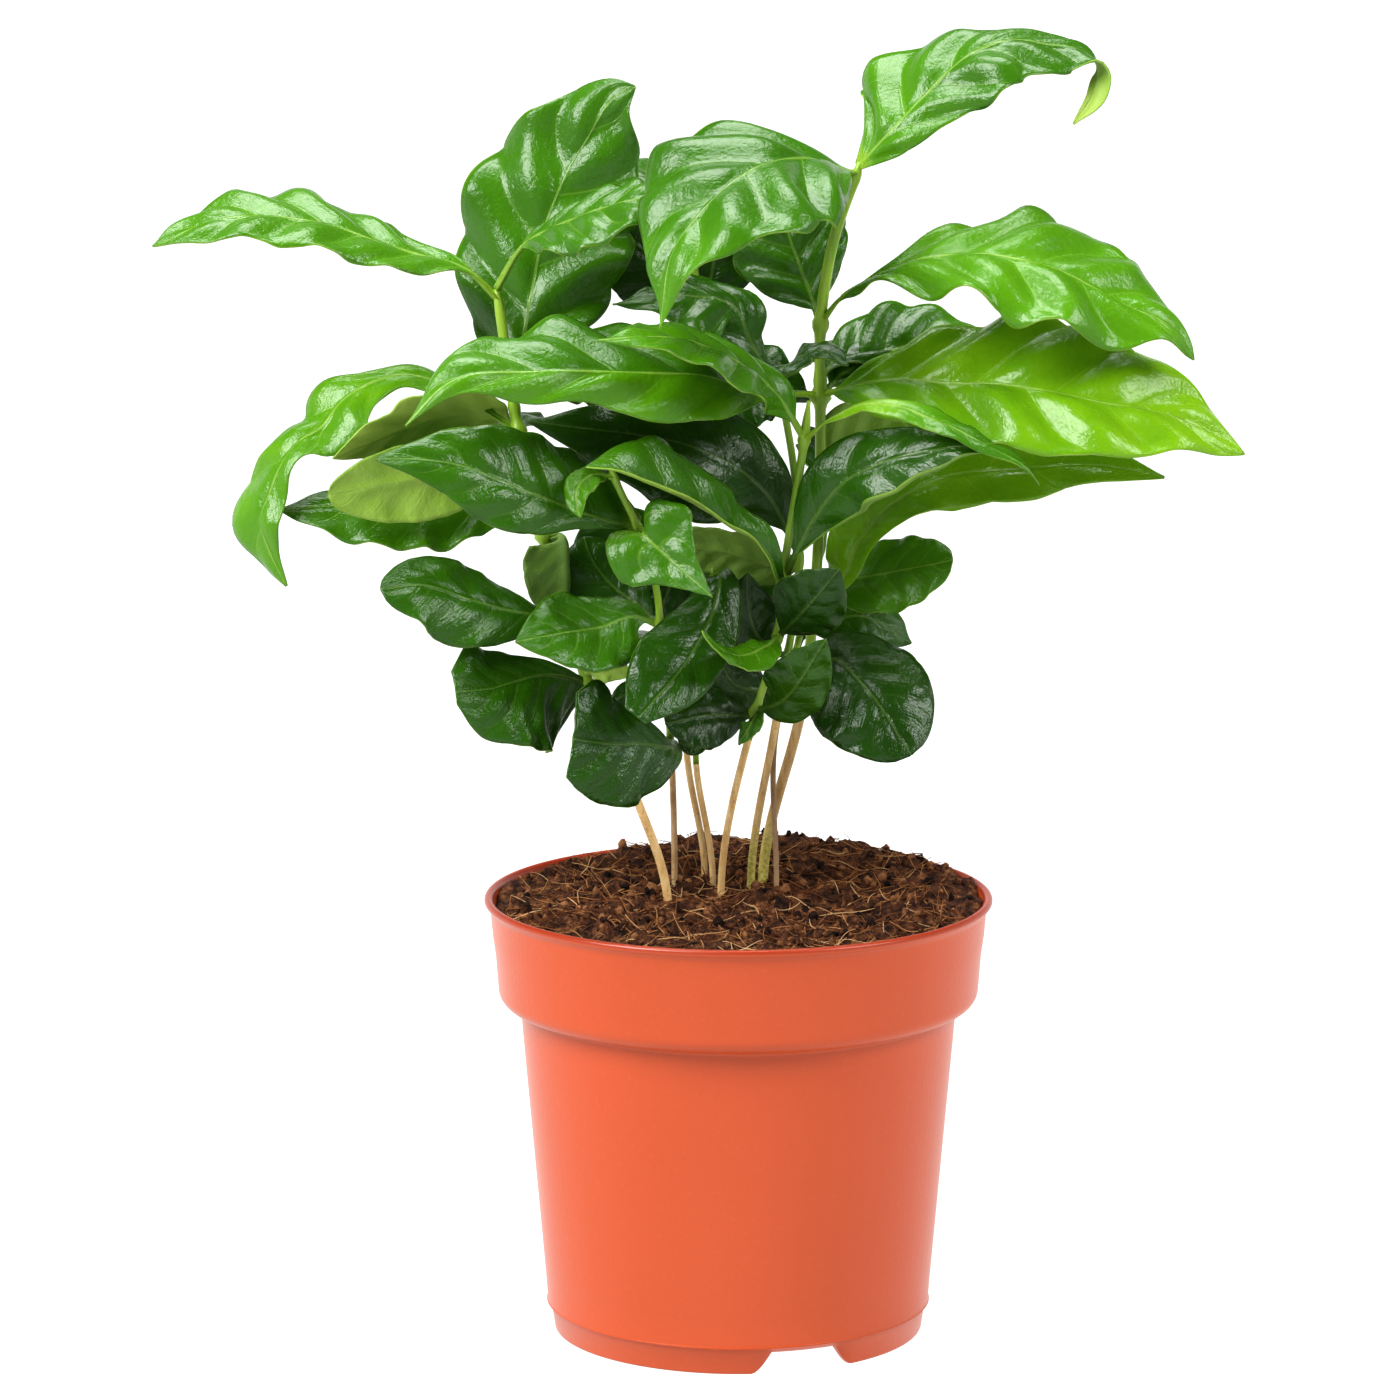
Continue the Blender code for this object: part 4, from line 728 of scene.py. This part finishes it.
def leafMaterial():
    # glossy upper side with pale veins and midrib, dull pale under side, light through the blade
    m = Paint("leaf")
    tone, under, vein = m.named("tone"), m.named("under"), m.named("vein")
    uv = m.node("UVMap", uv_map="surfaceUV").outputs["UV"]
    place = m.node("SeparateXYZ", {"Vector": uv})
    out = m.math("ABSOLUTE", m.math("MULTIPLY_ADD", place.outputs["Y"], 2.0, -1.0))

    # midrib and veins: distance in millimetres, and how clearly each shows
    fraction = m.math("FRACT", vein)
    nearest = m.math("MINIMUM", fraction, m.math("SUBTRACT", 1.0, fraction))
    veinLine = m.mapped(m.math("MULTIPLY", nearest, m.named("veinGap")), 0.5, 0.1)
    veinLine = m.math("MULTIPLY", veinLine, m.mapped(out, 0.95, 0.4))
    veinLine = m.math("MULTIPLY", veinLine, m.mapped(tone, 0.2, 0.7, 0.04, 0.3))
    ribWidth = m.mapped(place.outputs["X"], 0.0, 0.9, 0.6, 0.2)
    ribLine = m.mapped(m.math("DIVIDE", m.named("ribDistance"), ribWidth), 1.0, 0.4)
    ribLine = m.math("MULTIPLY", ribLine, m.mapped(tone, 0.25, 0.8, 0.25, 0.9))
    lines = m.math("MAXIMUM", ribLine, veinLine)

    # colour of the upper side, the under side and the stalk
    patches = m.math("MULTIPLY_ADD", m.noise(60.0, 3.0, 0.55), 0.3, -0.15)
    shade = m.math("ADD", tone, patches)
    top = m.ramp(shade, [
        (0.0, (0.008, 0.030, 0.002)), (0.3, (0.020, 0.080, 0.002)), (0.6, (0.043, 0.150, 0.003)),
        (0.85, (0.085, 0.250, 0.004)), (1.0, (0.18, 0.38, 0.006))])
    top = m.mixed(lines, top, m.mixed(0.5, top, (0.34, 0.52, 0.10)))
    margin = m.math("MULTIPLY", m.mapped(out, 0.975, 1.0), 0.3)
    top = m.mixed(margin, top, (0.25, 0.40, 0.03))
    below = m.ramp(shade, [
        (0.0, (0.05, 0.11, 0.015)), (0.3, (0.12, 0.22, 0.03)), (0.6, (0.26, 0.42, 0.055)),
        (1.0, (0.45, 0.60, 0.12))])
    below = m.mixed(m.math("MULTIPLY", lines, 0.4), below, (0.36, 0.50, 0.14))
    stalk = m.mixed(tone, (0.07, 0.17, 0.008), (0.26, 0.42, 0.02))
    colour = m.mixed(m.named("stalk"), m.mixed(under, top, below), stalk)

    # relief: wrinkles, puckers, streaks along the veins, and the veins themselves
    wrinkle = m.noise(700.0, 3.0, 0.6)
    alongVeins = m.node("CombineXYZ", {
        "X": m.math("MULTIPLY", vein, 9.0), "Y": m.math("MULTIPLY", out, 2.5)})
    streaks = m.node("TexNoise", {"Vector": alongVeins.outputs[0], "Scale": 1.0, "Detail": 3.0})
    height = m.math("MULTIPLY_ADD", m.noise(170.0, 3.0, 0.5), 0.85, wrinkle)
    height = m.math("MULTIPLY_ADD", streaks.outputs["Fac"], 0.7, height)
    height = m.math("MULTIPLY_ADD", lines, -0.5, height)
    dullness = m.math("MULTIPLY_ADD", under, 0.3, m.math("MULTIPLY_ADD", wrinkle, 0.18, 0.16))
    relief = m.bumped(height, 0.00022)
    m.surface({"Base Color": colour, "Normal": relief, "Roughness": dullness, "IOR": 1.46})
    through = m.node("BsdfTranslucent", {"Color": m.mixed(0.35, colour, (0.16, 0.42, 0.01))})
    blend = m.node("MixShader", {0: 0.15, 1: m.shader.outputs["BSDF"], 2: through.outputs["BSDF"]})
    m.fill(m.tree.nodes["Material Output"], {"Surface": blend.outputs["Shader"]})
    return m.material


def greenStemMaterial():
    # smooth young bark, streaked along the stem
    m = Paint("greenStem")
    streaks = m.noise(300.0, 3.0, 0.6, stretch=(1, 1, 0.15))
    colour = m.ramp(streaks, [(0.3, (0.12, 0.24, 0.012)), (0.7, (0.28, 0.43, 0.035))])
    m.surface({"Base Color": colour, "Normal": m.bumped(streaks, 0.0002), "Roughness": 0.38})
    return m.material


def barkMaterial():
    # tan bark with fine pores and streaks, mottled yellow-green where the wood is young
    m = Paint("bark")
    streaks = m.noise(500.0, 4.0, 0.65, stretch=(1, 1, 0.2))
    pores = m.noise(1400.0, 2.0, 0.5)
    tan = m.ramp(streaks, [
        (0.25, (0.50, 0.28, 0.10)), (0.5, (0.74, 0.50, 0.22)), (0.75, (0.86, 0.68, 0.40))])
    grey = m.ramp(streaks, [(0.3, (0.24, 0.14, 0.08)), (0.7, (0.48, 0.32, 0.20))])
    young = m.ramp(pores, [(0.35, (0.40, 0.35, 0.07)), (0.6, (0.62, 0.55, 0.16))])
    colour = m.mixed(m.named("young"), m.mixed(m.named("brown"), tan, grey), young)
    dots = m.math("MULTIPLY", m.mapped(pores, 0.36, 0.3), 0.35)
    colour = m.mixed(dots, colour, (0.30, 0.17, 0.06))
    relief = m.bumped(m.math("ADD", streaks, pores), 0.0003)
    m.surface({"Base Color": colour, "Normal": relief, "Roughness": 0.62})
    return m.material


leafPaint = leafMaterial()
greenStemPaint = greenStemMaterial()
barkPaint = barkMaterial()
bareStem = dict(tone=0.5, under=0.0, vein=0.5, veinGap=10.0, ribDistance=5.0, stalk=0.0)
seedsApart = 100
for seedlingNumber, (key, plant) in enumerate(seedlings.items()):
    line, radii = plant.line, plant.radii
    share = barkEnd(line, plant.bark)
    heights = [values.height for values in plant.leaves]
    wood = stemShape(line, radii, 0.0, share, [], 0, young=0.0, brown=plant.get("brown", 0.0))
    youngShare = np.clip((stem.youngTop - wood.points[:, 2]) / stem.youngFade, 0, 1)
    wood.named["young"] = plant.get("young", 0.0) * youngShare
    addPiece("stem_" + key + "_bark", [wood], [barkPaint], ["stem_" + key])
    green = stemShape(line, radii, share + stem.joint, 1.0, heights, 1, bud=True, **bareStem)
    firstSeed = seedsApart * seedlingNumber
    blades = [bladeShape(values, line, firstSeed + n) for n, values in enumerate(plant.leaves)]
    paints = [leafPaint, greenStemPaint]
    addPiece("shoot_" + key + "_leaves", blades + [green], paints, ["shoot_" + key])
print("seedlings ready")


# pot

potValues = Values(
    height=104.0, rimRadius=59.5, bandTop=58.1, bandFoot=56.3, bandFootHeight=82.2, bodyTop=51.15,
    bodyTopHeight=78.2, bodyFoot=45.0, step=6.6, foot=43.4, wall=0.8, footWall=2.0, floorUnder=5.6,
    floorTop=7.0, shoulderRound=3.6, bead=0.9, notchAngles=(-69.5, 50.5, 170.5), notchHeight=5.2,
    notchTop=21.0, notchFoot=33.0, notchBend=1.5, drainRadius=4.0, drainRing=27.0, drains=6,
    drainSides=32, sides=288, bodyRows=14,
)


def arc(centre, radius, start, end, steps):
    angle = np.radians(np.linspace(start, end, steps))
    return [(centre[0] + radius * math.cos(a), centre[1] + radius * math.sin(a)) for a in angle]


def potShape(p):
    # A profile of radius and height turned about the axis. In the three notches the foot's lower
    # edge rises to the notch's height along a slope.
    foot, footInner, body, inner = p.foot, p.foot - p.footWall, p.bodyFoot, p.bodyFoot - p.wall
    up = np.linspace(0, 1, p.bodyRows)[1:-1]
    bodyRadius = body + (p.bodyTop - body) * up
    bodyHeight = p.step + 1.2 + (p.bodyTopHeight - p.step - 2.0) * up
    floorRings = (0.01, 12.0, 30.0)
    profile = [
        *((radius, p.floorUnder) for radius in floorRings),
        (footInner - 0.5, p.floorUnder), (footInner, p.floorUnder - 0.5), (footInner, 0.5),
        (footInner + 0.4, 0.0), (foot - 0.5, 0.0), (foot - 0.12, 0.15), (foot + 0.05, 0.6),
        (body - 0.75, p.step - 0.65), (body - 0.45, p.step - 0.35), (body - 0.05, p.step - 0.2),
        (body + 0.25, p.step), (body + 0.05, p.step + 0.25), (body, p.step + 0.6),
        *zip(bodyRadius, bodyHeight),
        (p.bodyTop - 0.05, p.bodyTopHeight - 1.0), (p.bodyTop + 0.1, p.bodyTopHeight - 0.4),
        (p.bodyTop + 0.6, p.bodyTopHeight + 0.1),
        *arc((p.bandFoot - p.shoulderRound, p.bandFootHeight), p.shoulderRound, -78, 0, 9),
        (p.bandFoot + 0.6, p.bandFootHeight + 8.0), (p.bandTop - 0.5, p.height - 9.0),
        (p.bandTop, p.height - 3.2), (p.bandTop + 0.15, p.height - 2.6),
        *arc((p.rimRadius - p.bead, p.height - p.bead), p.bead, -60, 120, 13),
        (p.bandTop - 0.3, p.height - 0.3), (p.bandTop - p.wall, p.height - 1.1),
        (p.bandFoot - p.wall, p.bandFootHeight + 1.2), (p.bodyTop - p.wall, p.bodyTopHeight - 0.4),
        (inner, p.floorTop + 0.8), (inner - 0.8, p.floorTop),
        *((radius, p.floorTop) for radius in reversed(floorRings)),
    ]
    radius, height = np.array(profile).T
    angle = circle(p.sides)
    lift = np.zeros(p.sides)
    for middle in p.notchAngles:
        away = np.abs((np.degrees(angle) - middle + 180) % 360 - 180)
        slope = (p.notchFoot / 2 - away) / (p.notchFoot / 2 - p.notchTop / 2)
        lift += p.notchHeight * np.clip(slope, 0, 1) ** p.notchBend
    low = np.clip(1 - height / p.floorUnder, 0, 1)[:, None]
    z = height[:, None] * np.ones(p.sides) + lift * low
    turned = [np.outer(radius, np.cos(angle)), np.outer(radius, np.sin(angle)), z]
    middles = [(0, 0, p.floorUnder), (0, 0, p.floorTop)]
    points = np.concatenate([np.stack(turned, -1).reshape(-1, 3), middles])
    return shapeOf(points, gridQuads(len(radius), p.sides, closed=True), fans(len(radius), p.sides))


def cutDrains(pot, p):
    # holes through the floor, cut by round bars and applied
    points, faces = [], []
    for n in range(p.drains):
        angle = tau * n / p.drains
        middle = (p.drainRing * math.cos(angle), p.drainRing * math.sin(angle))
        line = [(*middle, p.floorUnder - 2), (*middle, p.floorTop + 2)]
        bar = tube(line, p.drainRadius, p.drainSides)
        start = n * len(bar.points)
        points.append(bar.points)
        faces += (bar.quads + start).tolist() + (bar.triangles + start).tolist()
    mesh = bpy.data.meshes.new("drainCutter")
    mesh.from_pydata(placed(np.concatenate(points)).tolist(), [], faces)
    cutter = addObject("drainCutter", mesh)
    change = pot.modifiers.new("drains", "BOOLEAN")
    change.operation = "DIFFERENCE"
    change.object = cutter
    graph = bpy.context.evaluated_depsgraph_get()
    baked = bpy.data.meshes.new_from_object(pot.evaluated_get(graph))
    pot.modifiers.clear()
    pot.data = baked
    bpy.data.objects.remove(cutter, do_unlink=True)


def potMaterial():
    # satin moulded plastic: faint upright flow marks, fine grain, and painted shade: a darker,
    # redder band on the rim's top
    m = Paint("potPlastic")
    place = m.node("TexCoord").outputs["Object"]
    height = m.node("SeparateXYZ", {"Vector": place}).outputs["Z"]
    clouds = m.noise(14.0, 3.0, 0.5, stretch=(1, 1, 0.4))
    grain = m.noise(900.0, 2.0, 0.6)
    colour = m.ramp(clouds, [(0.3, (0.440, 0.066, 0.015)), (0.7, (0.495, 0.078, 0.020))])
    colour = m.mixed(m.mapped(grain, 0.55, 0.8, 0.0, 0.12), colour, (0.66, 0.16, 0.06))
    # painted shade: the last millimetre of the rim's top is mixed towards a darker, deeper red
    colour = m.mixed(m.mapped(height, 0.1026, 0.1034, 0.0, 0.75), colour, (0.24, 0.022, 0.005))
    m.surface({
        "Base Color": colour, "Normal": m.bumped(grain, 0.00005), "IOR": 1.45,
        "Roughness": m.mapped(clouds, 0.2, 0.8, 0.27, 0.35)})
    return m.material


pot = addPiece("potBody", [potShape(potValues)], [potMaterial()], ["pot"])
cutDrains(pot, potValues)
print("pot ready")


# growing mix

mixValues = Values(
    top=101.5, tilt=2.0, heap=2.5, heapTowards=(0.5, 0.87), heapBend=1.3, lumps=1.0, inner=57.1,
    gap=0.1, edge=4.0, edgeDrop=0.5, wallHeight=84.0, wallRadius=54.8, rings=100, sides=320,
    clods=((14.0, 0.5), (9.0, 0.5), (6.0, 0.5), (4.0, 0.45), (2.7, 0.4), (1.8, 0.3)), clodWaves=3,
    seed=11,
)
crumbValues = Values(
    count=1500, seed=12, fromWall=3.0, least=0.35, spread=1.2, stretch=(0.6, 1.3),
    dents=(0.72, 1.2), sunk=0.15, shades=(0.1, 0.95), rings=4, sides=6, poleTilt=0.4,
)
fibreValues = Values(
    count=850, seed=13, fromWall=4.0, shortest=3.0, spread=14.0, rows=9, bend=0.45, wave=0.06,
    lift=(0.1, 0.9), curlUp=3.5, slope=1.2, thick=(0.06, 0.15), sides=4,
    taper=(0.5, 0.8, 1, 1, 1, 1, 1, 0.8, 0.4),
)


def mixHeight(x, y, p):
    # a slope rising away from the viewer, heaped behind and to the right, with lumps as
    # products of sines
    towards = (p.heapTowards[0] * x + p.heapTowards[1] * y) / p.inner
    heap = np.clip(towards, 0, 1) ** p.heapBend
    lumps = np.sin(0.29 * x + 1.2) * np.sin(0.33 * y + 0.4) + 0.6 * np.sin(0.47 * x - 0.38 * y)
    return p.top + p.tilt * y / p.inner + p.heap * heap + p.lumps * lumps


def roughness(x, y, p):
    # many sine waves of random direction and shorter and shorter length, folded to make clods
    draw = np.random.default_rng(p.seed)
    total = np.zeros_like(x)
    for length, size in p.clods:
        layer = np.zeros_like(x)
        for turn in draw.uniform(0, tau, p.clodWaves):
            start = draw.uniform(0, tau)
            across, along = math.sin(turn), math.cos(turn)
            bend = 1.3 * np.sin((x * across - y * along) * 2.9 / length + start * 2)
            layer += np.sin((x * along + y * across) * 2 * math.pi / length + start + bend)
        total += size * (1 - np.abs(layer) / 1.5)
    return total


def mixShape(p):
    rim = p.inner - p.gap
    radius = np.linspace(0, 1, p.rings + 1)[1:] * rim
    angle = circle(p.sides)
    x, y = np.outer(radius, np.cos(angle)), np.outer(radius, np.sin(angle))
    edge = np.clip((rim - radius) / p.edge, 0, 1)[:, None]
    z = mixHeight(x, y, p) + roughness(x, y, p) * (0.5 + 0.5 * edge) - p.edgeDrop * (1 - edge)
    floor = np.full(p.sides, p.wallHeight)
    wall = [p.wallRadius * np.cos(angle), p.wallRadius * np.sin(angle), floor]
    middles = [(0, 0, z[0].mean()), (0, 0, p.wallHeight)]
    points = np.concatenate([np.stack([x, y, z], -1).reshape(-1, 3), np.stack(wall, -1), middles])
    quads = gridQuads(p.rings + 1, p.sides, closed=True)[:, ::-1]
    caps = fans(p.rings + 1, p.sides, outwards=False)
    return shapeOf(points, quads, caps, 0, fibre=0.0, shade=0.5)


def scattered(draw, fromWall, p):
    # a random place on the mix, clear of the wall
    distance = (p.inner - fromWall) * math.sqrt(draw.uniform())
    angle = draw.uniform(0, tau)
    return distance * math.cos(angle), distance * math.sin(angle)


def crumbShapes(c, p):
    # small clods: a coarse ball of latitude rings, each corner pushed in or out at random
    draw = np.random.default_rng(c.seed)
    turn = circle(c.sides)
    tilt = np.linspace(c.poleTilt, math.pi - c.poleTilt, c.rings)
    ball = np.stack([
        np.outer(np.sin(tilt), np.cos(turn)), np.outer(np.sin(tilt), np.sin(turn)),
        np.outer(np.cos(tilt), np.ones(c.sides))], -1).reshape(-1, 3)
    ball = np.concatenate([ball, [(0, 0, 1), (0, 0, -1)]])
    quads = gridQuads(c.rings, c.sides, closed=True)[:, ::-1]
    caps = fans(c.rings, c.sides, outwards=False)
    shapes = []
    for _ in range(c.count):
        x, y = scattered(draw, c.fromWall, p)
        size = c.least + c.spread * draw.uniform() ** 3
        stretch = size * draw.uniform(*c.stretch, 3)
        points = ball * draw.uniform(*c.dents, (len(ball), 1)) * stretch
        spin = draw.uniform(0, math.pi)
        cos, sin = math.cos(spin), math.sin(spin)
        points = points @ np.array([(cos, sin, 0), (-sin, cos, 0), (0, 0, 1)])
        at = np.array([x]), np.array([y])
        height = mixHeight(*at, p)[0] + roughness(*at, p)[0]
        points = points + (x, y, height + c.sunk * size)
        shapes.append(shapeOf(points, quads, caps, 0, fibre=0.0, shade=draw.uniform(*c.shades)))
    return shapes


def fibreShapes(f, p):
    # coir fibres: thin tubes lying on the mix, bent as arcs with a small wave, some lifting off it
    draw = np.random.default_rng(f.seed)
    t = np.linspace(-0.5, 0.5, f.rows)
    shapes = []
    for _ in range(f.count):
        startX, startY = scattered(draw, f.fromWall, p)
        length = f.shortest + f.spread * draw.uniform() ** 1.7
        heading = draw.uniform(0, tau)
        bend = draw.normal(0, f.bend)
        direction = heading + bend * t + f.wave * np.sin(7 * t + draw.uniform(0, 6))
        step = length / (f.rows - 1)
        east, north = np.cos(direction), np.sin(direction)
        x = startX + np.cumsum(east) * step - east.sum() * step / 2
        y = startY + np.cumsum(north) * step - north.sum() * step / 2
        keep = np.minimum(1.0, (p.inner - 2.0) / np.maximum(np.hypot(x, y), 1e-6))
        x, y = x * keep, y * keep
        lift = (draw.uniform(*f.lift) + draw.uniform(0, f.curlUp) ** 2 * 0.2 * (0.5 - t) ** 2
                + draw.normal(0, f.slope) * t)
        z = mixHeight(x, y, p) + roughness(x, y, p).mean() + lift
        thin = draw.uniform(*f.thick) * np.array(f.taper)
        line = np.stack([x, y, z], -1)
        shapes.append(tube(line, thin, f.sides, 0, fibre=1.0, shade=draw.uniform()))
    return shapes


def mixMaterial():
    # dark peat crumbs with reddish ones among them, and tan to rust coir fibres
    m = Paint("growingMix")
    shade = m.named("shade")
    coarse = m.noise(330.0, 4.0, 0.75)
    fine = m.noise(1500.0, 3.0, 0.65)
    value = m.math("MULTIPLY_ADD", coarse, 0.9, m.math("MULTIPLY", shade, 0.5))
    peat = m.ramp(value, [
        (0.47, (0.003, 0.001, 0.0006)), (0.62, (0.022, 0.007, 0.003)), (0.74, (0.09, 0.032, 0.012)),
        (0.88, (0.27, 0.12, 0.05))])
    coir = m.ramp(shade, [
        (0.0, (0.10, 0.03, 0.010)), (0.45, (0.24, 0.09, 0.030)), (0.75, (0.42, 0.20, 0.07)),
        (1.0, (0.72, 0.48, 0.24))])
    m.surface({
        "Base Color": m.mixed(m.named("fibre"), peat, coir), "Roughness": 0.9,
        "Normal": m.bumped(m.math("ADD", fine, coarse), 0.0009), "Specular IOR Level": 0.25})
    return m.material


crumbs = crumbShapes(crumbValues, mixValues)
fibres = fibreShapes(fibreValues, mixValues)
mixShapes = [mixShape(mixValues)] + crumbs + fibres
addPiece("growingMixFill", mixShapes, [mixMaterial()], ["growing_mix"])
print("growing mix ready")


# floor

def addFloor(v):
    angle = circle(v.sides)
    ring = np.stack([np.cos(angle), np.sin(angle), np.zeros(v.sides)], -1) * v.radius
    mesh = bpy.data.meshes.new("floor")
    mesh.from_pydata(ring.tolist(), [], [list(range(v.sides))])
    floor = addObject("floor", mesh)
    floor.location.z = -v.below
    m = Paint("floor")
    m.surface({
        "Base Color": v.colour, "Roughness": 0.9, "Specular IOR Level": 0.2,
        "Emission Color": (1.0, 1.0, 1.0), "Emission Strength": v.glow})
    mesh.materials.append(m.material)


addFloor(ground)
print("floor ready")
